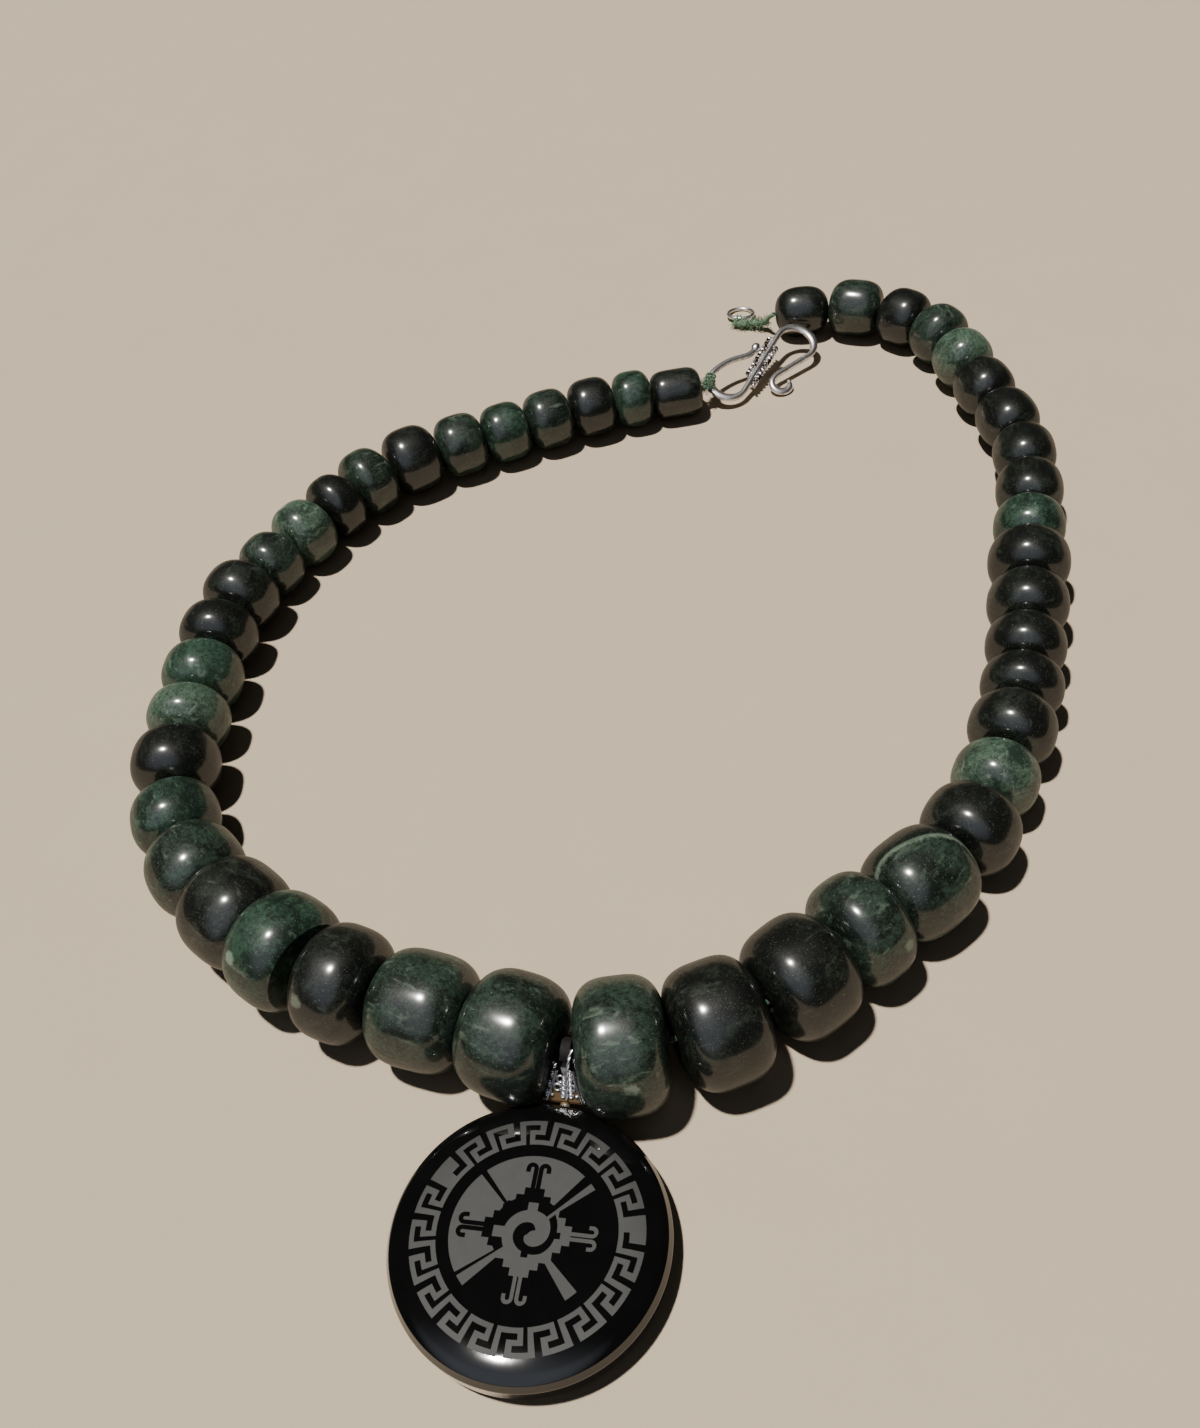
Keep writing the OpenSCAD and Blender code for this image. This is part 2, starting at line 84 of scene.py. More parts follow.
# diameter and width in millimetres, turn of the axis in degrees, squareness of the
# outline; then the stone and how much of the lighter colour clouds it
strands = {
    "left": (-1, [
        (18.5, 13.5, 9, 3.0, "stone_dark_green", 0.50),
        (17.5, 14.5, 5, 3.2, "stone_dark_green", 0.60),
        (18.0, 12.0, 12, 2.8, "stone_black", 0.30),
        (18.5, 10.5, 25, 2.8, "stone_green", 0.45),
        (17.5, 13.0, 28, 2.8, "stone_black", 0.40),
        (16.0, 12.5, 40, 2.6, "stone_dark_green", 0.60),
        (15.0, 12.0, 56, 2.6, "stone_green", 0.40),
        (15.5, 12.0, 72, 2.6, "stone_black", 0.10),
        (15.0, 10.0, 78, 2.6, "stone_pale_green", 0.80),
        (15.0, 11.5, 78, 2.6, "stone_green", 0.85),
        (15.0, 10.5, 83, 2.6, "stone_black", 0.25),
        (15.0, 11.0, 94, 2.6, "stone_black", 0.35),
        (13.5, 10.0, 105, 2.6, "stone_dark_green", 0.50),
        (14.0, 10.5, 110, 2.6, "stone_pale_green", 0.65),
        (14.0, 9.0, 112, 2.6, "stone_black", 0.10),
        (14.5, 9.5, 121, 2.8, "stone_dark_green", 0.45),
        (14.5, 11.5, 138, 2.8, "stone_black", 0.15),
        (13.5, 10.5, 146, 3.0, "stone_dark_green", 0.60),
        (13.0, 10.0, 146, 3.0, "stone_green", 0.50),
        (13.0, 10.0, 146, 3.0, "stone_dark_green", 0.55),
        (13.0, 10.0, 151, 3.0, "stone_black", 0.20),
        (12.5, 8.5, 155, 3.0, "stone_green", 0.50),
        (11.0, 12.0, 158, 4.0, "stone_black", 0.35)]),
    "right": (1, [
        (19.5, 12.5, 18, 3.2, "stone_dark_green", 0.65),
        (18.5, 13.0, 34, 3.2, "stone_black", 0.25),
        (18.0, 13.0, 52, 3.0, "stone_black", 0.25),
        (17.5, 11.0, 52, 2.8, "stone_dark_green", 0.55),
        (16.5, 14.0, 52, 2.8, "stone_dark_green", 0.40),
        (15.5, 12.0, 69, 2.6, "stone_black", 0.25),
        (14.0, 11.0, 78, 2.6, "stone_pale_green", 0.50),
        (14.5, 11.0, 79, 2.6, "stone_black", 0.30),
        (14.0, 9.0, 87, 2.6, "stone_black", 0.15),
        (14.0, 10.0, 89, 2.6, "stone_black", 0.15),
        (14.5, 11.0, 90, 2.6, "stone_black", 0.20),
        (15.0, 11.0, 91, 2.6, "stone_black", 0.10),
        (13.5, 11.0, 90, 2.6, "stone_green", 0.60),
        (13.0, 12.0, 92, 2.6, "stone_black", 0.20),
        (12.5, 12.0, 100, 2.6, "stone_black", 0.20),
        (12.5, 12.5, 114, 2.6, "stone_black", 0.15),
        (12.5, 12.0, 116, 2.6, "stone_black", 0.25),
        (13.0, 11.0, 116, 2.6, "stone_pale_green", 0.75),
        (13.5, 10.0, 129, 2.6, "stone_dark_green", 0.60),
        (13.0, 10.5, 150, 2.8, "stone_black", 0.15),
        (13.0, 12.0, 174, 3.0, "stone_dark_green", 0.45),
        (11.5, 12.5, 194, 2.6, "stone_black", 0.10)])}
# dark, lighter and palest colour of each stone
stones = {
    "stone_black": ((0.0030, 0.0037, 0.0029), (0.015, 0.020, 0.015), (0.09, 0.105, 0.083)),
    "stone_dark_green": ((0.0042, 0.0070, 0.0050), (0.023, 0.040, 0.028), (0.12, 0.16, 0.12)),
    "stone_green": ((0.0056, 0.0115, 0.0080), (0.027, 0.057, 0.037), (0.12, 0.175, 0.13)),
    "stone_pale_green": ((0.011, 0.021, 0.0145), (0.060, 0.098, 0.068), (0.165, 0.22, 0.165))}


def add(tree, kind, inputs=None, **settings):
    node = tree.nodes.new(kind)
    for setting, value in settings.items():
        setattr(node, setting, value)
    for socket, value in (inputs or {}).items():
        if isinstance(value, bpy.types.NodeSocket):
            tree.links.new(value, node.inputs[socket])
        else:
            node.inputs[socket].default_value = value
    return node


def reckon(tree, operation, *values):
    return add(tree, "ShaderNodeMath", dict(enumerate(values)), operation=operation).outputs[0]


def reckon_way(tree, operation, first, second):
    return add(tree, "ShaderNodeVectorMath", {0: first, 1: second}, operation=operation).outputs[0]


def stretched(tree, vector, length):
    return add(tree, "ShaderNodeVectorMath", {
        0: vector, "Scale": length}, operation="SCALE").outputs[0]


def noise(tree, vector, size, detail=4.0, roughness=0.6, distortion=0.0):
    return add(tree, "ShaderNodeTexNoise", {
        "Vector": vector, "Scale": 1 / size, "Detail": detail,
        "Roughness": roughness, "Distortion": distortion}).outputs[0]


def step_between(tree, value, low, high):
    return add(tree, "ShaderNodeMapRange", {"Value": value, "From Min": low, "From Max": high},
               interpolation_type="SMOOTHSTEP").outputs[0]


def mixed(tree, share, first, second):
    return add(tree, "ShaderNodeMix", {0: share, 6: first, 7: second}, data_type="RGBA").outputs[2]


def start_group(name, inputs, outputs):
    group = bpy.data.node_groups.new(name, "ShaderNodeTree")
    for label, kind in inputs.items():
        group.interface.new_socket(label, in_out="INPUT", socket_type=kind)
    for label, kind in outputs.items():
        group.interface.new_socket(label, in_out="OUTPUT", socket_type=kind)
    return group, group.nodes.new("NodeGroupInput").outputs


def start_tree(name, inputs):
    tree = bpy.data.node_groups.new(name, "GeometryNodeTree")
    for label, kind in inputs.items():
        tree.interface.new_socket(label, in_out="INPUT", socket_type=kind)
    tree.interface.new_socket("Mesh", in_out="OUTPUT", socket_type="NodeSocketGeometry")
    return tree, tree.nodes.new("NodeGroupInput").outputs


def position(tree):
    return add(tree, "GeometryNodeInputPosition").outputs[0]


def stored(tree, shape, name, value, kind="FLOAT"):
    return add(tree, "GeometryNodeStoreNamedAttribute", {
        "Geometry": shape, "Name": name, "Value": value}, data_type=kind).outputs[0]


def smoothed(tree, shape):
    return add(tree, "GeometryNodeSetShadeSmooth", {"Geometry": shape}).outputs[0]


def end_tree(tree, shape, material):
    real = add(tree, "GeometryNodeRealizeInstances", {0: shape}).outputs[0]
    painted = add(tree, "GeometryNodeSetMaterial", {"Geometry": real, "Material": material})
    add(tree, "NodeGroupOutput", {0: painted.outputs[0]})


def make_from(tree, name, values, place, base=None):
    piece = bpy.data.objects.new(name, base or bpy.data.meshes.new(name))
    bpy.context.scene.collection.objects.link(piece)
    shaping = piece.modifiers.new("shape", "NODES")
    shaping.node_group = tree
    for socket in tree.interface.items_tree:
        if socket.in_out == "INPUT" and socket.name in values:
            shaping[socket.identifier] = values[socket.name]
    now = bpy.context.evaluated_depsgraph_get()
    mesh = bpy.data.meshes.new_from_object(
        piece.evaluated_get(now), preserve_all_data_layers=True, depsgraph=now)
    piece.modifiers.remove(shaping)
    piece.data = mesh
    mesh.name = name
    mesh.transform(place)
    return piece


def place_of(tree):
    return add(tree, "ShaderNodeTexCoord").outputs["Object"]


def start_material(name, **finish):
    material = bpy.data.materials.new(name)
    material.use_nodes = True
    tree = material.node_tree
    shader = tree.nodes["Principled BSDF"]
    for socket, value in finish.items():
        shader.inputs[socket.replace("_", " ")].default_value = value
    return material, tree, shader


def connect(tree, shader, **links):
    for socket, value in links.items():
        tree.links.new(value, shader.inputs[socket.replace("_", " ")])


def bumped(tree, height, depth, strength=1.0):
    return add(tree, "ShaderNodeBump", {
        "Height": height, "Distance": depth, "Strength": strength}).outputs[0]


# millimetres across the clouds, the mottle in them, the strokes, the specks and the pits
cloud_size = 5.0
mottle_size = 0.75
stroke_size = 1.7
speck_size = 0.26
pit_size = 0.42
clouds, given = start_group("stone clouds", {
    "Grain": "NodeSocketVector", "Vein": "NodeSocketFloat", "Patch": "NodeSocketFloat",
    "Cover": "NodeSocketFloat",
    "Dark": "NodeSocketColor", "Light": "NodeSocketColor", "Pale": "NodeSocketColor"}, {
    "Colour": "NodeSocketColor", "Roughness": "NodeSocketFloat", "Height": "NodeSocketFloat"})
grain = given["Grain"]
drawn_out = reckon_way(clouds, "MULTIPLY", grain, (0.8, 1.0, 1.25))
broad = noise(clouds, drawn_out, cloud_size, 5, 0.62, 0.8)
mottle = noise(clouds, grain, mottle_size, 6, 0.80)
blend = reckon(clouds, "ADD", broad, reckon(clouds, "MULTIPLY_ADD", mottle, 0.45, -0.225))
edge = reckon(clouds, "MULTIPLY_ADD", given["Cover"], -0.32, 0.64)
lighter = step_between(
    clouds, blend, reckon(clouds, "SUBTRACT", edge, 0.10), reckon(clouds, "ADD", edge, 0.12))
drawn_out = reckon_way(clouds, "MULTIPLY", grain, (0.35, 1.0, 1.0))
strokes = noise(clouds, drawn_out, stroke_size, 4, 0.65, 0.5)
flecks = reckon(clouds, "MULTIPLY", step_between(clouds, strokes, 0.57, 0.70), given["Cover"])
shade = step_between(clouds, mottle, 0.32, 0.68)
tinted = mixed(clouds, reckon(clouds, "ADD", shade, 0.12), given["Dark"], given["Light"])
colour = mixed(clouds, lighter, given["Dark"], tinted)
colour = mixed(clouds, reckon(clouds, "MULTIPLY", flecks, 0.7), colour, given["Pale"])
ragged = reckon(clouds, "MULTIPLY_ADD", mottle, 1.2, reckon(clouds, "SUBTRACT", given["Vein"], 0.6))
beyond = step_between(clouds, ragged, 0.1, 0.5)
colour = mixed(clouds, beyond, colour, given["Dark"])
seam = step_between(clouds, reckon(clouds, "ABSOLUTE", ragged), 0.62, 0.10)
seam = reckon(clouds, "MULTIPLY", seam, reckon(clouds, "MULTIPLY_ADD", shade, 0.6, 0.35))
colour = mixed(clouds, seam, colour, given["Pale"])
patch = step_between(clouds, reckon(clouds, "MULTIPLY_ADD", mottle, 1.6, given["Patch"]), 2.1, 1.6)
colour = mixed(clouds, reckon(clouds, "MULTIPLY", patch, 0.85), colour, given["Pale"])
specks = step_between(clouds, noise(clouds, grain, speck_size, 2, 0.6), 0.63, 0.72)
colour = mixed(clouds, reckon(clouds, "MULTIPLY", specks, 0.6), colour, given["Pale"])
pits = noise(clouds, grain, pit_size, 3, 0.75)
add(clouds, "NodeGroupOutput", {
    "Colour": colour,
    "Roughness": reckon(clouds, "MULTIPLY_ADD", pits, 0.30, 0.31),
    "Height": pits})

stone_materials = {}
for stone, (dark, light, pale) in stones.items():
    material, tree, shader = start_material(
        stone, IOR=1.5, Specular_IOR_Level=0.12, Coat_Weight=0.19, Coat_IOR=3.0, Coat_Roughness=0.15)
    given = {name: add(tree, "ShaderNodeAttribute", attribute_name=name).outputs
             for name in ("grain", "vein", "patch", "cover")}
    look = add(tree, "ShaderNodeGroup", {
        "Grain": given["grain"]["Vector"], "Vein": given["vein"]["Fac"],
        "Patch": given["patch"]["Fac"], "Cover": given["cover"]["Fac"],
        "Dark": (*dark, 1), "Light": (*light, 1), "Pale": (*pale, 1)}, node_tree=clouds).outputs
    connect(tree, shader, Base_Color=look["Colour"], Roughness=look["Roughness"],
            Normal=bumped(tree, look["Height"], 0.00008, 0.75))
    stone_materials[stone] = material

bead_tree, given = start_tree("drilled bead", {
    "Diameter": "NodeSocketFloat", "Width": "NodeSocketFloat", "Squareness": "NodeSocketFloat",
    "Hole": "NodeSocketFloat", "Lip": "NodeSocketFloat", "Sawn": "NodeSocketFloat",
    "Unevenness": "NodeSocketFloat", "Cover": "NodeSocketFloat", "Vein way": "NodeSocketVector",
    "Vein place": "NodeSocketFloat", "Patch at": "NodeSocketVector", "Seed": "NodeSocketFloat",
    "Rows": "NodeSocketInt", "Sides": "NodeSocketInt", "Stone": "NodeSocketMaterial"})
sheet = add(bead_tree, "GeometryNodeMeshGrid", {
    "Vertices X": given["Sides"], "Vertices Y": given["Rows"]}).outputs[0]
flat = add(bead_tree, "ShaderNodeSeparateXYZ", {0: position(bead_tree)}).outputs
turn = reckon(bead_tree, "MULTIPLY", reckon(bead_tree, "ADD", flat["X"], 0.5), tau)
last_row = reckon(bead_tree, "SUBTRACT", given["Rows"], 1)
row = reckon(bead_tree, "ROUND", reckon(
    bead_tree, "MULTIPLY", reckon(bead_tree, "ADD", flat["Y"], 0.5), last_row))
# the last three rows at each end are the bore's middle, the bore's edge and its mouth
end_rows = 3
edge_sink = 0.06
along = add(bead_tree, "ShaderNodeMapRange", {
    "Value": row, "From Min": end_rows, "From Max": reckon(bead_tree, "SUBTRACT", last_row, end_rows),
    "To Min": -1.0, "To Max": 1.0}).outputs[0]
from_end = reckon(bead_tree, "MINIMUM", row, reckon(bead_tree, "SUBTRACT", last_row, row))
at_mouth = reckon(bead_tree, "LESS_THAN", from_end, 2.5)
in_bore = reckon(bead_tree, "LESS_THAN", from_end, 1.5)
in_middle = reckon(bead_tree, "LESS_THAN", from_end, 0.5)
# the outline is a superellipse, which ends at the mouth or where the end was sawn off
half = reckon(bead_tree, "MULTIPLY", given["Diameter"], 0.5)
half_width = reckon(bead_tree, "MULTIPLY", reckon(
    bead_tree, "MULTIPLY", given["Width"], given["Sawn"]), 0.5)
bore = reckon(bead_tree, "MULTIPLY", given["Hole"], 0.5)
mouth = reckon(bead_tree, "ADD", bore, given["Lip"])
power = reckon(bead_tree, "DIVIDE", 2.0, given["Squareness"])
root = reckon(bead_tree, "DIVIDE", 1.0, power)
to_mouth = reckon(bead_tree, "ARCCOSINE", reckon(
    bead_tree, "POWER", reckon(bead_tree, "DIVIDE", mouth, half), root))
to_cut = reckon(bead_tree, "ARCSINE", reckon(
    bead_tree, "POWER", reckon(bead_tree, "DIVIDE", 1.0, given["Sawn"]), root))
angle = reckon(bead_tree, "MULTIPLY", along, reckon(bead_tree, "MINIMUM", to_mouth, to_cut))
rise = reckon(bead_tree, "POWER", reckon(
    bead_tree, "ABSOLUTE", reckon(bead_tree, "SINE", angle)), power)
reach = reckon(bead_tree, "MULTIPLY", half_width, reckon(
    bead_tree, "MULTIPLY", rise, reckon(bead_tree, "SIGN", angle)))
outline = reckon(bead_tree, "MULTIPLY", half, reckon(
    bead_tree, "POWER", reckon(bead_tree, "COSINE", angle), power))
outline = add(bead_tree, "ShaderNodeMix", {0: at_mouth, 2: outline, 3: mouth}).outputs[0]
radius = add(bead_tree, "ShaderNodeMix", {0: in_bore, 2: outline, 3: bore}).outputs[0]
sunk = reckon(bead_tree, "SUBTRACT", 1.0, reckon(bead_tree, "MULTIPLY", in_bore, edge_sink))
reach = reckon(bead_tree, "MULTIPLY", reckon(bead_tree, "MULTIPLY", reach, sunk),
               reckon(bead_tree, "SUBTRACT", 1.0, in_middle))
spot = add(bead_tree, "ShaderNodeCombineXYZ", {
    "X": reach,
    "Y": reckon(bead_tree, "MULTIPLY", radius, reckon(bead_tree, "COSINE", turn)),
    "Z": reckon(bead_tree, "MULTIPLY", radius, reckon(bead_tree, "SINE", turn))}).outputs[0]
# each bead lies at its own place in the clouds and in the noise of its dents
seed_shift = 17.3
dent_size = 9.0
own_spot = reckon_way(
    bead_tree, "ADD", spot, reckon(bead_tree, "MULTIPLY", given["Seed"], seed_shift))
dent = reckon(bead_tree, "SUBTRACT", noise(bead_tree, own_spot, dent_size, 2, 0.5), 0.35)
uneven = reckon(bead_tree, "SUBTRACT", 1.0, reckon(bead_tree, "MULTIPLY", dent, given["Unevenness"]))
along_vein = add(bead_tree, "ShaderNodeVectorMath", {
    0: spot, 1: given["Vein way"]}, operation="DOT_PRODUCT").outputs["Value"]
off_patch = add(bead_tree, "ShaderNodeVectorMath", {
    0: spot, 1: given["Patch at"]}, operation="DISTANCE").outputs["Value"]
bead = stored(bead_tree, sheet, "grain", own_spot, "FLOAT_VECTOR")
bead = stored(bead_tree, bead, "cover", given["Cover"])
bead = stored(bead_tree, bead, "vein", reckon(bead_tree, "SUBTRACT", along_vein, given["Vein place"]))
bead = stored(bead_tree, bead, "patch", off_patch)
bead = add(bead_tree, "GeometryNodeSetPosition", {
    "Geometry": bead, "Position": stretched(bead_tree, spot, uneven)}).outputs[0]
bead = add(bead_tree, "GeometryNodeMergeByDistance", {"Geometry": bead, "Distance": 0.001}).outputs[0]
bend = add(bead_tree, "GeometryNodeInputMeshEdgeAngle").outputs[0]
bead = add(bead_tree, "GeometryNodeSetShadeSmooth", {
    "Geometry": bead, "Shade Smooth": reckon(bead_tree, "LESS_THAN", bend, 0.6)},
    domain="EDGE").outputs[0]
bead = smoothed(bead_tree, bead)
end_tree(bead_tree, bead, given["Stone"])

# the bead with a pale seam across it: its direction, and its distance from the middle
seams = {"bead_right_05": ((0.30, 0.63, -0.72), -4.0)}
no_seam = ((0, 0, 0), 50.0)
# beads with a pale patch: its middle, along the bead's axis, across it and upwards
patches = {"bead_left_04": (-1.8, -7.1, 5.6), "bead_left_03": (-2.1, -7.2, 4.9),
           "bead_left_14": (0.5, -3.5, 5.5), "bead_right_04": (1.5, -7.5, 3.0),
           "bead_right_01": (1.0, -8.8, 3.9)}
no_patch = (0, 0, 50)
# how much wider each barrel was before its ends were sawn off: squarer beads, rounder
# beads, and the few whose sawn ends stayed large
sawn_end = 1.05
worn_end = 1.025
cut_ends = {"bead_left_04": 1.30, "bead_right_05": 1.15, "bead_left_05": 1.18, "bead_left_06": 1.15}
# the two beads beside the bail nearly meet, and the one at the hook is worn short: what is
# added at the inner and at the outer end
longer = {"bead_left_01": (0.5, 0), "bead_right_01": (0.4, 0), "bead_left_23": (0, -0.9)}
# a bead's own units are millimetres, and the scene's are metres
metres = Matrix.Scale(0.001, 4)
faces = {"left": [], "right": []}
for side_name, (side, rows) in strands.items():
    for number, (diameter, width, heading, squareness, stone, cover) in enumerate(rows, 1):
        node = f"bead_{side_name}_{number:02d}"
        low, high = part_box(node)
        centre = (low + high) / 2
        place = (Matrix.Translation(centre) @ Matrix.Rotation(side * radians(heading), 4, "Z")
                 @ metres)
        outward = place.to_3x3() @ Vector((side * width / 2, 0, 0))
        faces[side_name].append((centre - outward, centre + outward))
        inner, outer = longer.get(node, (0, 0))
        place = place @ Matrix.Translation((side * (outer - inner) / 2, 0, 0))
        vein_way, vein_place = seams.get(node, no_seam)
        piece = make_from(bead_tree, "stone_" + node, {
            "Diameter": diameter, "Width": width + inner + outer, "Squareness": squareness,
            "Hole": bead_hole, "Lip": hole_lip, "Unevenness": bead_unevenness, "Cover": cover,
            "Sawn": cut_ends.get(node, sawn_end if squareness > 2.6 else worn_end),
            "Vein way": vein_way, "Vein place": vein_place, "Patch at": patches.get(node, no_patch),
            "Seed": number + 30.0 * side, "Rows": bead_rows, "Sides": bead_sides + 1,
            "Stone": stone_materials[stone]}, place)
        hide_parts(node)
        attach(piece, "root")

# The disc is black volcanic glass, ground flat and domed at its edge, with an undercut
# foot. It is polished all over, and the ornament is blasted into its face and stays grey.
disc_radius = 0.01895
disc_thickness = 0.007
face_radius = 0.0158
dome_start = 0.0128
dome_drop = 0.00028
rim_tilt = radians(10.5)
# the shoulder from the face outwards: up to which tilt, and with what bend
shoulder_bends = ((radians(14), 0.020), (radians(38), 0.0035), (radians(68), 0.0003))
shoulder_steps = 10
face_slope = 0.045
# radius and height of the wall's ends, with a fine ridge under its upper one
wall_top = (0.01880, 0.0048)
wall_foot = (0.01862, 0.0020)
wall_ridge = 0.00006
ridge_height = 0.00024
foot_radius = 0.0172
foot_chamfer = (0.0002, 0.00015)
low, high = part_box("pendant_disc")
disc_centre = (low + high) / 2

glass, tree, shader = start_material(
    "black_glass", IOR=1.5, Roughness=0.03, Specular_IOR_Level=0.5,
    Coat_Weight=0.5, Coat_Roughness=0.09)
haze = noise(tree, place_of(tree), 0.004, 4, 0.6)
waves = noise(tree, place_of(tree), 0.0035, 2)
deep_black = (0.0012, 0.0012, 0.0012, 1)
hazy_black = (0.0028, 0.0028, 0.0028, 1)
connect(tree, shader, Base_Color=mixed(tree, haze, deep_black, hazy_black),
        Normal=bumped(tree, waves, 0.00002, 0.25))

frost, tree, shader = start_material("frosted_glass", IOR=1.5, Roughness=0.62)
speckle = noise(tree, place_of(tree), 0.00012, 3, 0.8)
smears = noise(tree, place_of(tree), 0.0016, 4, 0.6)
frosting = reckon(tree, "MULTIPLY_ADD", smears, 0.5, reckon(tree, "MULTIPLY", speckle, 0.5))
dark_frost = (0.0085, 0.0085, 0.0088, 1)
pale_frost = (0.0340, 0.0340, 0.0330, 1)
connect(tree, shader, Base_Color=mixed(tree, frosting, dark_frost, pale_frost),
        Normal=bumped(tree, speckle, 0.00004, 0.8))

# the engraved face comes from the solid, and is cut both ways so that it can be domed
engraving_depth = 0.0003
face_room = 0.0001
frost_depth = 0.00002
strip_width = 0.0012
strip_shift = 0.37
rim_weld = 0.00015
sharp_bend = radians(20)
disc_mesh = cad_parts["pendant_disc"].data.copy()
disc_mesh.name = "polished_disc"
disc_mesh.materials.clear()
disc_mesh.materials.append(glass)
disc_mesh.materials.append(frost)
disc_shape = bmesh.new()
disc_shape.from_mesh(disc_mesh)
bmesh.ops.remove_doubles(disc_shape, verts=disc_shape.verts, dist=2e-6)


def from_centre(v):
    return sqrt((v.co.x - disc_centre.x) ** 2 + (v.co.y - disc_centre.y) ** 2)


lower = [v for v in disc_shape.verts
         if v.co.z < disc_thickness - engraving_depth or from_centre(v) > face_radius + face_room]
bmesh.ops.delete(disc_shape, geom=lower, context="VERTS")
cuts = int(disc_radius / strip_width)
for way in (Vector((1, 0, 0)), Vector((0, 1, 0))):
    for cut in range(-cuts, cuts + 1):
        everything = disc_shape.verts[:] + disc_shape.edges[:] + disc_shape.faces[:]
        bmesh.ops.bisect_plane(disc_shape, geom=everything, dist=1e-7, plane_no=way,
                               plane_co=disc_centre + way * (cut + strip_shift) * strip_width)
for face in disc_shape.faces:
    engraved = face.calc_center_median().z < disc_thickness - frost_depth
    face.material_index = 1 if engraved else 0
    face.smooth = True
for v in disc_shape.verts:
    past = max(0, (from_centre(v) - dome_start) / (face_radius - dome_start))
    v.co.z -= dome_drop * past ** 2
rim = [v for v in disc_shape.verts if v.is_boundary]
bmesh.ops.remove_doubles(disc_shape, verts=rim, dist=rim_weld)
rim = [v for v in disc_shape.verts if v.is_boundary]
rim.sort(key=lambda v: atan2(v.co.y - disc_centre.y, v.co.x - disc_centre.x))
profile = []
spot = Vector((face_radius, disc_thickness - dome_drop))
tilt = rim_tilt
for turn_to, bend in shoulder_bends:
    start, start_tilt = spot.copy(), tilt
    for i in range(1, shoulder_steps + 1):
        tilt = start_tilt + (turn_to - start_tilt) * i / shoulder_steps
        spot = start + bend * Vector((sin(tilt) - sin(start_tilt), cos(tilt) - cos(start_tilt)))
        profile.append(tuple(spot))
profile += [wall_top, (wall_top[0] + wall_ridge, wall_top[1] - ridge_height / 2),
            (wall_top[0], wall_top[1] - ridge_height), wall_foot,
            (foot_radius + foot_chamfer[0], foot_chamfer[1]), (foot_radius, 0)]
upper_ring = rim
for radius, height in profile:
    lower_ring = []
    for v in rim:
        angle = atan2(v.co.y - disc_centre.y, v.co.x - disc_centre.x)
        lower_ring.append(disc_shape.verts.new((
            disc_centre.x + radius * cos(angle), disc_centre.y + radius * sin(angle), height)))
    for i in range(len(rim)):
        face = disc_shape.faces.new((
            upper_ring[i - 1], lower_ring[i - 1], lower_ring[i], upper_ring[i]))
        face.smooth = True
    upper_ring = lower_ring
disc_shape.faces.new(list(reversed(upper_ring)))
for v in disc_shape.verts:
    v.co.z *= 1 - face_slope * (v.co.y - disc_centre.y) / disc_thickness
for edge in disc_shape.edges:
    if len(edge.link_faces) == 2 and edge.calc_face_angle(0) > sharp_bend:
        edge.smooth = False
disc_shape.to_mesh(disc_mesh)
disc_shape.free()
disc = bpy.data.objects.new("polished_disc", disc_mesh)
bpy.context.scene.collection.objects.link(disc)
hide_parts("pendant_disc")
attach(disc, "root")

# The bail is cast and soldered silver: an eye round the thread, a leaf with scrolls between
# two roped edges, and a bar at its foot with a peg that is glued into the disc's edge.
# Millimetres, in the plane of the leaf: x across, y from the eye towards the string.
eye_radius = 1.3
sheet_thickness = 0.6
bail_spot = Vector((15.5702, -83.65, 9.5))
bail_turn = radians(4)
bail_drop = 5.1
bail_run = 4.85
bail_length = sqrt(bail_drop ** 2 + bail_run ** 2)
# the roped edges: upper end, lower end, spread of the two wires and their radius
edge_wires = {"left": ((-1.35, -1.2), (-2.8, -7.0), 0.21, 0.14),
              "right": ((1.3, -0.4), (2.8, -6.9), 0.10, 0.09)}
edge_wire_pitch = 1.0
scroll_wire_radius = 0.10
stem_course = [
    (0.95, 0.9, 0.3), (0.6, -0.4, 0.8), (0.42, -2.4, 0.9), (0.40, -4.4, 0.85), (0.25, -6.6, 0.8)]
leaf_place = (metres @ Matrix.Translation(bail_spot) @ Matrix.Rotation(bail_turn, 4, "Z")
              @ Matrix.Rotation(atan2(bail_drop, bail_run), 4, "X")
              @ Matrix.Translation((0, 0, eye_radius))
              @ Matrix.Rotation(atan2(eye_radius, bail_length), 4, "X"))

tarnish, given = start_group("tarnish", {"Place": "NodeSocketVector", "Amount": "NodeSocketFloat"}, {
    "Colour": "NodeSocketColor", "Roughness": "NodeSocketFloat", "Height": "NodeSocketFloat"})
clean_silver = (0.90, 0.885, 0.90, 1)
# dull silver in blotches: tarnish, made darker and warmer partly as a painted reflection of the warm
# table
dull_silver_and_table_tint = (0.46, 0.42, 0.41, 1)
blotches = noise(tarnish, given["Place"], 0.0016, 4, 0.65)
brushed = reckon_way(tarnish, "MULTIPLY", given["Place"], (1.0, 0.16, 0.5))
scratches = noise(tarnish, brushed, 0.00012, 3, 0.6)
dull = reckon(tarnish, "MULTIPLY", step_between(tarnish, blotches, 0.35, 0.70), given["Amount"])
scuffed = reckon(tarnish, "MULTIPLY_ADD", scratches, 0.16, 0.20)
add(tarnish, "NodeGroupOutput", {
    "Colour": mixed(tarnish, dull, clean_silver, dull_silver_and_table_tint),
    "Roughness": reckon(tarnish, "MULTIPLY_ADD", dull, 0.10, scuffed), "Height": scratches})


def start_silver(name, amount):
    material, tree, shader = start_material(name, Metallic=1.0)
    look = add(tree, "ShaderNodeGroup", {
        "Place": place_of(tree), "Amount": amount}, node_tree=tarnish).outputs
    connect(tree, shader, Base_Color=look["Colour"], Roughness=look["Roughness"],
            Normal=bumped(tree, look["Height"], 0.00001, 0.5))
    return material, tree, shader, look
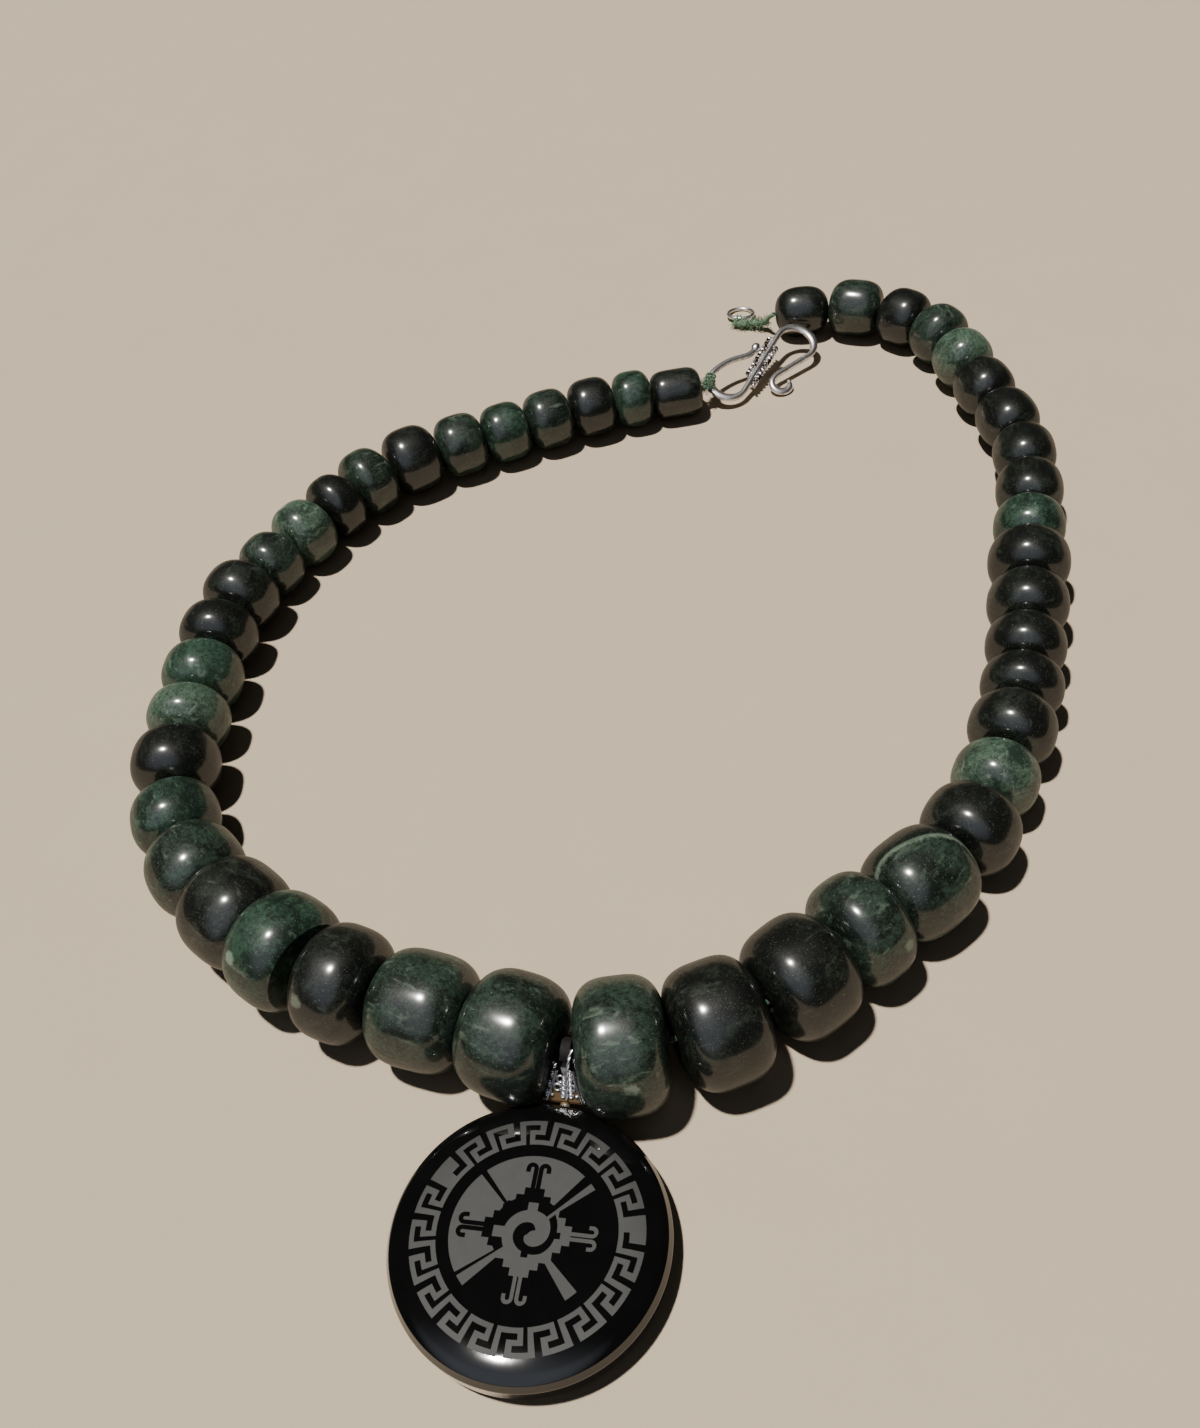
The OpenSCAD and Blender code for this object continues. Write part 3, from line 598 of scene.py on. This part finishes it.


# the sheet between the leaf's wires is blackened with patina; a band of it under the eye is painted
# black as the shade between the two beads, and its foot is painted a warm brown as a reflection of
# the table
blackening_and_gap_shade = (0.004, 0.004, 0.004, 1)
painted_table_reflection = (0.22, 0.145, 0.075, 1)
bail_silver, tree, shader, look = start_silver("bail_silver", 0.7)
on_leaf = add(tree, "ShaderNodeMapping", {
    "Vector": place_of(tree), "Location": leaf_place.to_translation(),
    "Rotation": leaf_place.to_euler(), "Scale": leaf_place.to_scale()},
    vector_type="TEXTURE").outputs[0]
on_leaf = add(tree, "ShaderNodeSeparateXYZ", {0: on_leaf}).outputs
sunk = reckon(tree, "MULTIPLY", step_between(tree, on_leaf["Z"], 0.80, 0.66),
              step_between(tree, on_leaf["Z"], -0.1, 0.2))
sunk = reckon(tree, "MULTIPLY", sunk, step_between(tree, on_leaf["Y"], -0.3, -0.8))
# painted shade: the band of the leaf and eye between the two beads is painted black, where the beads'
# shade falls
painted_gap_shade = step_between(tree, on_leaf["Y"], -2.3, -1.4)
sunk = reckon(tree, "MAXIMUM", sunk, reckon(tree, "MULTIPLY", painted_gap_shade, 0.97))
# painted reflection: the sheet's foot is painted warm brown, as the table mirrored in the silver
patina_shade_and_reflection = mixed(tree, step_between(tree, on_leaf["Y"], -4.6, -6.2), blackening_and_gap_shade, painted_table_reflection)
polish = reckon(tree, "MULTIPLY", look["Roughness"], 0.6)
connect(tree, shader, Base_Color=mixed(tree, sunk, look["Colour"], patina_shade_and_reflection),
        Roughness=reckon(tree, "MULTIPLY_ADD", sunk, 0.65, polish))


def smooth_copy(node, name, material, sharp=radians(35)):
    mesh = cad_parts[node].data.copy()
    mesh.name = name
    mesh.materials.clear()
    mesh.materials.append(material)
    shape = bmesh.new()
    shape.from_mesh(mesh)
    bmesh.ops.remove_doubles(shape, verts=shape.verts, dist=2e-6)
    bmesh.ops.dissolve_degenerate(shape, edges=shape.edges, dist=1e-6)
    for face in shape.faces:
        face.material_index = 0
        face.smooth = True
    for edge in shape.edges:
        edge.smooth = len(edge.link_faces) != 2 or edge.calc_face_angle(0) < sharp
    shape.to_mesh(mesh)
    shape.free()
    copy = bpy.data.objects.new(name, mesh)
    bpy.context.scene.collection.objects.link(copy)
    return copy


def course(name, points):
    mesh = bpy.data.meshes.new(name)
    mesh.from_pydata(points, [(i, i + 1) for i in range(len(points) - 1)], [])
    return mesh


def settle(piece, slot, *nodes):
    if nodes:
        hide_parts(*nodes)
    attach(piece, "root")


wound, given = start_tree("wound strands", {
    "Path": "NodeSocketGeometry", "Strands": "NodeSocketInt", "Spread": "NodeSocketFloat",
    "Strand radius": "NodeSocketFloat", "Pitch": "NodeSocketFloat", "Step": "NodeSocketFloat",
    "Slack": "NodeSocketFloat", "Material": "NodeSocketMaterial"})
path = add(wound, "GeometryNodeMeshToCurve", {"Mesh": given["Path"]}).outputs[0]
path = add(wound, "GeometryNodeResampleCurve", {
    "Curve": path, "Length": given["Step"]}, mode="LENGTH").outputs[0]
path = add(wound, "GeometryNodeSetCurveNormal", {"Curve": path}, mode="Z_UP").outputs[0]
copies = add(wound, "GeometryNodeDuplicateElements", {
    "Geometry": path, "Amount": given["Strands"]}, domain="SPLINE").outputs
# every strand turns round the path once in each pitch
share = reckon(wound, "DIVIDE", copies["Duplicate Index"], given["Strands"])
travel = add(wound, "GeometryNodeSplineParameter").outputs["Length"]
angle = reckon(wound, "MULTIPLY", reckon(
    wound, "ADD", share, reckon(wound, "DIVIDE", travel, given["Pitch"])), tau)
across = add(wound, "GeometryNodeInputNormal").outputs["Normal"]
forward = add(wound, "GeometryNodeInputTangent").outputs[0]
upward = reckon_way(wound, "CROSS_PRODUCT", forward, across)
loose = noise(wound, position(wound), 1.1, 2, 0.5)
spread = reckon(wound, "MULTIPLY_ADD", loose, given["Slack"], given["Spread"])
moved = reckon_way(
    wound, "ADD",
    stretched(wound, across, reckon(wound, "MULTIPLY", spread, reckon(wound, "COSINE", angle))),
    stretched(wound, upward, reckon(wound, "MULTIPLY", spread, reckon(wound, "SINE", angle))))
strands_round = add(wound, "GeometryNodeSetPosition", {
    "Geometry": copies["Geometry"], "Offset": moved}).outputs[0]
strands_round = stored(wound, strands_round, "core", reckon_way(
    wound, "SUBTRACT", position(wound), moved), "FLOAT_VECTOR")
section = add(wound, "GeometryNodeCurvePrimitiveCircle", {
    "Resolution": 8, "Radius": given["Strand radius"]}, mode="RADIUS").outputs[0]
strand = smoothed(wound, add(wound, "GeometryNodeCurveToMesh", {
    "Curve": strands_round, "Profile Curve": section, "Fill Caps": True}).outputs[0])
core = add(wound, "GeometryNodeInputNamedAttribute", {
    "Name": "core"}, data_type="FLOAT_VECTOR").outputs[0]
out_from_core = add(wound, "ShaderNodeVectorMath", {
    0: position(wound), 1: core}, operation="DISTANCE").outputs["Value"]
reach = reckon(wound, "ADD", given["Spread"], given["Strand radius"])
strand = stored(wound, strand, "outer", reckon(wound, "DIVIDE", out_from_core, reach))
end_tree(wound, strand, given["Material"])

curls, given = start_tree("curls along a stem", {
    "Pairs": "NodeSocketInt", "From": "NodeSocketVector", "To": "NodeSocketVector",
    "Aside": "NodeSocketFloat", "Curl radius": "NodeSocketFloat", "Wire radius": "NodeSocketFloat",
    "Material": "NodeSocketMaterial"})
curl = add(curls, "GeometryNodeCurveSpiral", {
    "Resolution": 14, "Rotations": 1.7, "Start Radius": 0.06, "End Radius": given["Curl radius"],
    "Height": 0.0}).outputs[0]
round_wire = add(curls, "GeometryNodeCurvePrimitiveCircle", {
    "Resolution": 8, "Radius": given["Wire radius"]}, mode="RADIUS").outputs[0]
curl = add(curls, "GeometryNodeCurveToMesh", {
    "Curve": curl, "Profile Curve": round_wire, "Fill Caps": True}).outputs[0]
spots = add(curls, "GeometryNodeMeshLine", {
    "Count": given["Pairs"], "Start Location": given["From"], "Offset": given["To"]},
    mode="END_POINTS").outputs[0]
number = add(curls, "GeometryNodeInputIndex").outputs[0]
growth = reckon(curls, "MULTIPLY_ADD", number, 0.07, 0.72)
both = add(curls, "GeometryNodeJoinGeometry")
for side in (-1, 1):
    aside = reckon(curls, "MULTIPLY", given["Aside"], growth)
    aside = add(curls, "ShaderNodeCombineXYZ", {
        "X": reckon(curls, "MULTIPLY", aside, float(side))}).outputs[0]
    beside = add(curls, "GeometryNodeSetPosition", {"Geometry": spots, "Offset": aside}).outputs[0]
    row = add(curls, "GeometryNodeInstanceOnPoints", {
        "Points": beside, "Instance": curl, "Scale": growth,
        "Rotation": (0.0, pi if side > 0 else 0.0, 0.6)}).outputs[0]
    curls.links.new(row, both.inputs[0])
end_tree(curls, smoothed(curls, both.outputs[0]), given["Material"])

# a twist is darker between its strands: tarnish where polishing doesn't reach, and painted shade in
# the grooves
groove_tarnish_and_shade = (0.035, 0.028, 0.026, 1)
twisted_silver, tree, shader, look = start_silver("twisted_silver", 0.0)
outer = add(tree, "ShaderNodeAttribute", attribute_name="outer").outputs["Fac"]
connect(tree, shader, Base_Color=mixed(
    tree, step_between(tree, outer, 0.45, 0.80), groove_tarnish_and_shade, look["Colour"]))

bright_silver = start_silver("bright_silver", 0.0)[0]
bail = smooth_copy("bail", "bail_body", bail_silver)
settle(bail, "silver", "bail")
for side_name, (edge_top, edge_foot, spread, strand_radius) in edge_wires.items():
    edge_course = course("edge", [(*edge_top, sheet_thickness), (*edge_foot, sheet_thickness)])
    edge = make_from(wound, f"bail_rope_{side_name}", {
        "Strands": 2, "Spread": spread, "Strand radius": strand_radius,
        "Pitch": edge_wire_pitch, "Step": 0.06, "Material": twisted_silver}, leaf_place, edge_course)
    settle(edge, "silver")
scrolls = make_from(curls, "bail_scrolls", {
    "Pairs": 6, "From": (0.35, -2.3, 0.80), "To": (0.35, -6.0, 0.76), "Aside": 0.52,
    "Curl radius": 0.40, "Wire radius": scroll_wire_radius, "Material": bright_silver}, leaf_place)
settle(scrolls, "silver")
stem = make_from(wound, "bail_stem", {
    "Strands": 2, "Spread": 0.12, "Strand radius": 0.17, "Pitch": 2.4, "Step": 0.08,
    "Material": bright_silver}, leaf_place, course("stem", stem_course))
settle(stem, "silver")

# The thread is a green laid cord of three plies. It runs through every bead and through
# the eye of the bail, and comes out at the last bead on each side.
laid_thread = {"Strands": 3, "Spread": 0.23, "Strand radius": 0.21, "Pitch": 1.6}
exit_room = 0.0004
# the thread's way from the last bead down to the ring
ring_route = [Vector(p) / 1000 for p in (
    (13.3702, 116.15, 4.8), (12.4702, 117.35, 3.0), (11.4702, 118.25, 1.8), (4.3702, 118.45, 1.2))]


def out_of(inner_face, outer_face):
    return outer_face + (outer_face - inner_face).normalized() * exit_room


left_exit = out_of(*faces["left"][-1])
right_exit = out_of(*faces["right"][-1])

fibres, given = start_group("spun fibres", {
    "Place": "NodeSocketVector", "Dark": "NodeSocketColor", "Light": "NodeSocketColor"}, {
    "Colour": "NodeSocketColor", "Height": "NodeSocketFloat"})
fine = noise(fibres, given["Place"], 0.00009, 3, 0.7)
worn = noise(fibres, given["Place"], 0.0012, 3, 0.6)
share = reckon(fibres, "MULTIPLY_ADD", fine, 0.6, reckon(fibres, "MULTIPLY_ADD", worn, 0.8, -0.2))
add(fibres, "NodeGroupOutput", {
    "Colour": mixed(fibres, share, given["Dark"], given["Light"]), "Height": fine})


def start_thread(name, dark, light):
    material, tree, shader = start_material(
        name, Roughness=0.85, Sheen_Weight=0.3, Sheen_Roughness=0.5)
    look = add(tree, "ShaderNodeGroup", {
        "Place": place_of(tree), "Dark": (*dark, 1), "Light": (*light, 1)}, node_tree=fibres).outputs
    connect(tree, shader, Base_Color=look["Colour"],
            Normal=bumped(tree, look["Height"], 0.00003, 0.7))
    return material


# painted shade: the thread along the strand is painted darker, as the shade between the beads; the
# ties use the thread's own brighter green
shade_darkened_thread = start_thread("shade_darkened_thread", (0.008, 0.022, 0.014), (0.025, 0.070, 0.045))
tie_thread = start_thread("tie_thread", (0.034, 0.060, 0.029), (0.142, 0.275, 0.157))


def between(rows):
    return [(rows[i][1] + rows[i + 1][0]) / 2 for i in range(len(rows) - 1)]


def in_millimetres(points):
    return [point * 1000 for point in points]


# the hook's place, and where the thread is tied on its bend
hook_spot = (0.0142202, 0.09595, 0.00435)
hook_lean = radians(24)
hook_turn = radians(-14.5)
hook_place = (Matrix.Translation(hook_spot) @ Matrix.Rotation(hook_lean, 4, (1, 1, 0))
              @ Matrix.Rotation(hook_turn, 4, "Z") @ metres)
front_place = hook_place @ Matrix.Rotation(pi, 4, "Z")
front_straight = 8.4
front_bend = 4.2
tie_turn = radians(157)


def on_front_bend(turn):
    return Vector((front_bend * (1 - cos(turn)), front_straight + front_bend * sin(turn), 0))


tied_at = front_place @ on_front_bend(tie_turn)
tie_way = (tied_at - left_exit).normalized()
hook_tie_end = tied_at - tie_way * 0.001

run = [hook_tie_end - tie_way * 0.0006, left_exit]
run += list(reversed(between(faces["left"])))
run += [(faces["left"][0][0] + faces["right"][0][0]) / 2]
run += between(faces["right"]) + [right_exit]
lead = make_from(
    wound, "thread_to_ring", {**laid_thread, "Slack": 0.25, "Step": 0.12, "Material": tie_thread},
    metres, course("lead", in_millimetres([right_exit] + ring_route)))
settle(lead, "green_thread", "thread")
string = make_from(
    wound, "laid_thread", {**laid_thread, "Step": 0.16, "Material": shade_darkened_thread},
    metres, course("run", in_millimetres(run)))
settle(string, "green_thread")

# The hook is one silver wire, bent both ways from its middle and hammered flatter at the
# bends. A ball is melted on its tied end, its free end is curled, and a twisted row is
# soldered along each side of its straight middle.
hook_wire_radius = 0.70
hook_wire_sides = 20
hammered_wider = 0.46
hammered_thinner = 0.16
ball_radius = 1.14
ball_shape = (1.15, 0.95, 0.95, 1)
course_step = 0.22
# each end of the wire from the hook's middle: length of a straight part, radius of the
# bend after it, its turn in degrees, and how much it is hammered
hook_back = [(10.4, 4.45, -204, 1.0), (8.9, 6.0, 24, 0.0), (0.0, 2.1, 240, 0.75)]
hook_front = [(front_straight, front_bend, -196, 1.0), (1.0, 14.0, -24, 0.0), (1.8, 5.0, 45, 0.0)]
tip_thickness = 0.55
taper_steps = 8
twist_aside = 1.2
twist_length = 13
twist_starts = {"left": (-1.0, -4.2), "right": (1.0, -6.4)}
# the seat wire under each twisted row is blackened, and painted darker as the shade between the
# coil's turns
dark_seat = (0.14, 0.11, 0.09, 1)
pale_seat = (0.24, 0.20, 0.18, 1)
# the hook takes more of the dull tone, partly as a painted reflection of the warm table in its wire
hook_silver = start_silver("hook_silver", 1.2)[0]
blackened_and_shaded_silver, tree, shader, look = start_silver("blackened_and_shaded_silver", 1.0)
connect(tree, shader, Base_Color=mixed(tree, look["Height"], dark_seat, pale_seat))


def wire_course(runs):
    spot = Vector((0, 0, 0))
    heading = pi / 2
    stations = [(spot.copy(), 0.0)]
    for straight, bend, turn, hammered in runs:
        steps = max(1, round(straight / course_step)) if straight else 0
        start = spot.copy()
        for i in range(1, steps + 1):
            spot = start + Vector((cos(heading), sin(heading), 0)) * straight * i / steps
            stations.append((spot.copy(), 0.0))
        steps = round(abs(radians(turn)) * bend / course_step)
        swing = radians(turn) / steps
        chord = 2 * bend * sin(abs(swing) / 2)
        for i in range(1, steps + 1):
            spot = spot + Vector((cos(heading + swing / 2), sin(heading + swing / 2), 0)) * chord
            heading += swing
            stations.append((spot.copy(), hammered * sin(pi * i / steps) ** 1.5))
    return stations


back = wire_course(hook_back)
half_turn = Matrix.Rotation(pi, 3, "Z")
front = [(half_turn @ spot, flat) for spot, flat in wire_course(hook_front)]
stations = list(reversed(front)) + back[1:]
hook_shape = bmesh.new()
rings = []
count = len(stations)
for i, (spot, flat) in enumerate(stations):
    way = (stations[min(i + 1, count - 1)][0] - stations[max(i - 1, 0)][0]).normalized()
    beside = Vector((-way.y, way.x, 0))
    left_to_tip = count - 1 - i
    taper = min(1.0, tip_thickness + (1 - tip_thickness) * left_to_tip / taper_steps)
    wide = hook_wire_radius * (1 + hammered_wider * flat) * taper
    thin = hook_wire_radius * (1 - hammered_thinner * flat) * taper
    corners = [tau * k / hook_wire_sides for k in range(hook_wire_sides)]
    rings.append([hook_shape.verts.new(
        spot + beside * wide * cos(corner) + Vector((0, 0, thin * sin(corner))))
        for corner in corners])
for i in range(1, count):
    for k in range(hook_wire_sides):
        hook_shape.faces.new((
            rings[i - 1][k - 1], rings[i - 1][k], rings[i][k], rings[i][k - 1]))
tip_way = (stations[-1][0] - stations[-2][0]).normalized()
for ring_verts, pole in ((rings[0], stations[0][0]), (rings[-1], stations[-1][0] + tip_way * 0.2)):
    top = hook_shape.verts.new(pole)
    for k in range(hook_wire_sides):
        hook_shape.faces.new((ring_verts[k - 1], ring_verts[k], top))
ball_way = (stations[0][0] - stations[1][0]).normalized()
ball_turn = Matrix.Rotation(atan2(ball_way.y, ball_way.x), 4, "Z")
bmesh.ops.create_uvsphere(
    hook_shape, u_segments=28, v_segments=18, radius=ball_radius,
    matrix=Matrix.Translation(stations[0][0]) @ ball_turn @ Matrix.Diagonal(ball_shape))
bmesh.ops.recalc_face_normals(hook_shape, faces=hook_shape.faces)
for face in hook_shape.faces:
    face.smooth = True
hook_mesh = bpy.data.meshes.new("hook_wire")
hook_shape.to_mesh(hook_mesh)
hook_shape.free()
hook_mesh.transform(hook_place)
hook_mesh.materials.append(hook_silver)
hook = bpy.data.objects.new("hook_wire", hook_mesh)
bpy.context.scene.collection.objects.link(hook)
settle(hook, "silver", "clasp_hook")
for row_name, (side, start) in twist_starts.items():
    aside = side * twist_aside
    end = start + twist_length
    rib = make_from(wound, f"hook_twist_{row_name}", {
        "Strands": 1, "Spread": 0.40, "Strand radius": 0.31, "Pitch": -1.25 * side, "Step": 0.08,
        "Material": twisted_silver}, hook_place, course("rib", [(aside, start, 0), (aside, end, 0)]))
    settle(rib, "silver")
    seat_course = course("seat", [(aside, start + 0.2, 0), (aside, end - 0.2, 0)])
    seat = make_from(wound, f"hook_seat_{row_name}", {
        "Strands": 1, "Spread": 0.0, "Strand radius": 0.26, "Pitch": 1.0, "Step": 1.0,
        "Material": blackened_and_shaded_silver}, hook_place, seat_course)
    settle(seat, "silver")

# The end ring is a closed loop of thinner silver wire, soldered and left plain.
ring_silver = start_silver("ring_silver", 1.0)[0]
ring_piece = smooth_copy("end_ring", "ring_wire", ring_silver)
settle(ring_piece, "silver", "end_ring")

# At each end the thread is whipped round itself and tied round the silver, and its cut
# ends are frayed. The ties show the thread's own bright green; along the strand it is painted darker,
# as the shade between the beads.
whipping_thread_radius = 0.22
whipping_spread = 0.62
turns_thread_radius = 0.20
fibre_radius = 0.035
fibre_length = 1.7
fibre_count = 420
turns_step = 0.16
ring_bend = 3.1
ring_wire_radius = 0.45
ring_tilt = radians(9)
fuzz, given = start_tree("stray fibres", {
    "Path": "NodeSocketGeometry", "Count": "NodeSocketInt", "Length": "NodeSocketFloat",
    "Fibre radius": "NodeSocketFloat", "Seed": "NodeSocketInt", "Material": "NodeSocketMaterial"})
path = add(fuzz, "GeometryNodeMeshToCurve", {"Mesh": given["Path"]}).outputs[0]
roots = add(fuzz, "GeometryNodeCurveToPoints", {
    "Curve": path, "Count": given["Count"]}, mode="COUNT").outputs[0]
bow = add(fuzz, "GeometryNodeCurveQuadraticBezier", {
    "Resolution": 5, "Start": (0, 0, 0), "Middle": (0.15, 0.35, 0.55),
    "End": (0.65, 0.1, 0.9)}).outputs[0]
hair = add(fuzz, "GeometryNodeCurvePrimitiveCircle", {
    "Resolution": 4, "Radius": given["Fibre radius"]}, mode="RADIUS").outputs[0]
bow = add(fuzz, "GeometryNodeCurveToMesh", {
    "Curve": bow, "Profile Curve": hair, "Fill Caps": True}).outputs[0]
turned = add(fuzz, "FunctionNodeRandomValue", {
    0: (0, 0, 0), 1: (tau, tau, tau), "Seed": given["Seed"]}, data_type="FLOAT_VECTOR").outputs[0]
own_length = add(fuzz, "FunctionNodeRandomValue", {
    2: 0.45, 3: 1.15, "Seed": reckon(fuzz, "ADD", given["Seed"], 7)}, data_type="FLOAT").outputs[1]
hairs = add(fuzz, "GeometryNodeInstanceOnPoints", {
    "Points": roots, "Instance": bow, "Rotation": turned,
    "Scale": reckon(fuzz, "MULTIPLY", own_length, given["Length"])}).outputs[0]
hairs = add(fuzz, "GeometryNodeRealizeInstances", {0: hairs}).outputs[0]
# a fibre that would go through the table lies on it
reached = add(fuzz, "ShaderNodeSeparateXYZ", {0: position(fuzz)}).outputs
above_table = reckon(
    fuzz, "MAXIMUM", reached["Z"], reckon(fuzz, "MULTIPLY_ADD", reached["Z"], 0.1, 0.15))
hairs = add(fuzz, "GeometryNodeSetPosition", {
    "Geometry": hairs, "Position": add(fuzz, "ShaderNodeCombineXYZ", {
        "X": reached["X"], "Y": reached["Y"], "Z": above_table}).outputs[0]}).outputs[0]
end_tree(fuzz, hairs, given["Material"])

hook_bend_path = [on_front_bend(tie_turn + i * turns_step / front_bend) for i in range(-8, 9)]
ring_angles = [-pi / 2 + i * turns_step / ring_bend for i in range(-6, 7)]
ring_bend_path = [Vector((ring_bend * cos(turn), ring_bend * sin(turn), 0)) for turn in ring_angles]
ring_low, ring_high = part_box("end_ring")
ring_place = (Matrix.Translation((ring_low + ring_high) / 2)
              @ Matrix.Rotation(-ring_tilt, 4, "X") @ metres)
ring_way = (ring_route[3] - ring_route[2]).normalized()
hook_line = in_millimetres([left_exit + tie_way * 0.0008, hook_tie_end])
ring_line = in_millimetres(ring_route[1:3] + [ring_route[3] + ring_way * 0.0003])
# the whipping's line, the turns' course and place, the silver wire's radius, how loosely
# the thread is wound, and the seed of the stray fibres
whippings = {
    "hook": (hook_line, hook_bend_path, front_place, hook_wire_radius, 0.5, 41),
    "ring": (ring_line, ring_bend_path, ring_place, ring_wire_radius, 0.8, 52)}
for tie_name, (line, bend_path, bend_place, wire_radius, slack, seed) in whippings.items():
    sleeve = make_from(wound, f"{tie_name}_whipping", {
        "Strands": 2, "Spread": whipping_spread - slack / 2, "Strand radius": whipping_thread_radius,
        "Pitch": 1.2, "Slack": slack, "Step": 0.1, "Material": tie_thread},
        metres, course("sleeve", line))
    settle(sleeve, "green_thread", f"{tie_name}_tie")
    turns = make_from(wound, f"{tie_name}_turns", {
        "Strands": 1, "Spread": wire_radius + 0.2, "Strand radius": turns_thread_radius,
        "Pitch": 0.85, "Slack": 0.35, "Step": 0.05, "Material": tie_thread},
        bend_place, course("turns", bend_path))
    settle(turns, "green_thread")
    stray = make_from(fuzz, f"{tie_name}_fuzz", {
        "Count": fibre_count, "Length": fibre_length, "Fibre radius": fibre_radius, "Seed": seed,
        "Material": tie_thread}, metres, course("roots", line))
    settle(stray, "green_thread")

# The piece lies on a plain pale table. A warm light stands nearly overhead, a little to
# the left, and a soft bluish patch of sky on the near side is mirrored in the beads.
table_reach = 3
dark_table = (0.405, 0.328, 0.238, 1)
pale_table = (0.426, 0.349, 0.255, 1)
light_way = Vector((-0.22, -0.06, 1))
sky_way = (-0.10, -0.66, 0.745)
dark_sky = (0.020, 0.020, 0.021, 1)
bright_sky = (0.66, 0.72, 0.82, 1)
floor_mesh = bpy.data.meshes.new("floor")
floor_mesh.from_pydata([(x * table_reach, y * table_reach, 0) for x, y in (
    (-1, -1), (1, -1), (1, 1), (-1, 1))], [], [(0, 1, 2, 3)])
floor = bpy.data.objects.new("floor", floor_mesh)
bpy.context.scene.collection.objects.link(floor)
paint, tree, shader = start_material("pale_floor", Roughness=0.75)
connect(tree, shader, Base_Color=mixed(
    tree, noise(tree, place_of(tree), 0.02, 3), dark_table, pale_table))
floor_mesh.materials.append(paint)
floor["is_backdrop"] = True

key = bpy.data.objects.new("key", bpy.data.lights.new("key", "SUN"))
key.data.energy = 6.6
key.data.angle = radians(3)
key.data.color = (1.0, 0.96, 0.90)
key.rotation_euler = light_way.to_track_quat("Z", "Y").to_euler()
bpy.context.scene.collection.objects.link(key)

world = bpy.data.worlds.new("studio")
world.use_nodes = True
bpy.context.scene.world = world
tree = world.node_tree
way = add(tree, "ShaderNodeTexCoord").outputs["Generated"]
toward = add(tree, "ShaderNodeVectorMath", {
    0: way, 1: sky_way}, operation="DOT_PRODUCT").outputs["Value"]
# the patch shows in reflections, and adds little to the light on dull surfaces
seen_dull = add(tree, "ShaderNodeLightPath").outputs["Is Diffuse Ray"]
bright = reckon(tree, "MULTIPLY", step_between(tree, toward, 0.66, 0.97),
                reckon(tree, "MULTIPLY_ADD", seen_dull, -0.88, 1.0))
sky = mixed(tree, bright, dark_sky, bright_sky)
tree.links.new(sky, tree.nodes["Background"].inputs["Color"])
tree.nodes["Background"].inputs["Strength"].default_value = 1.0

low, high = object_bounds()
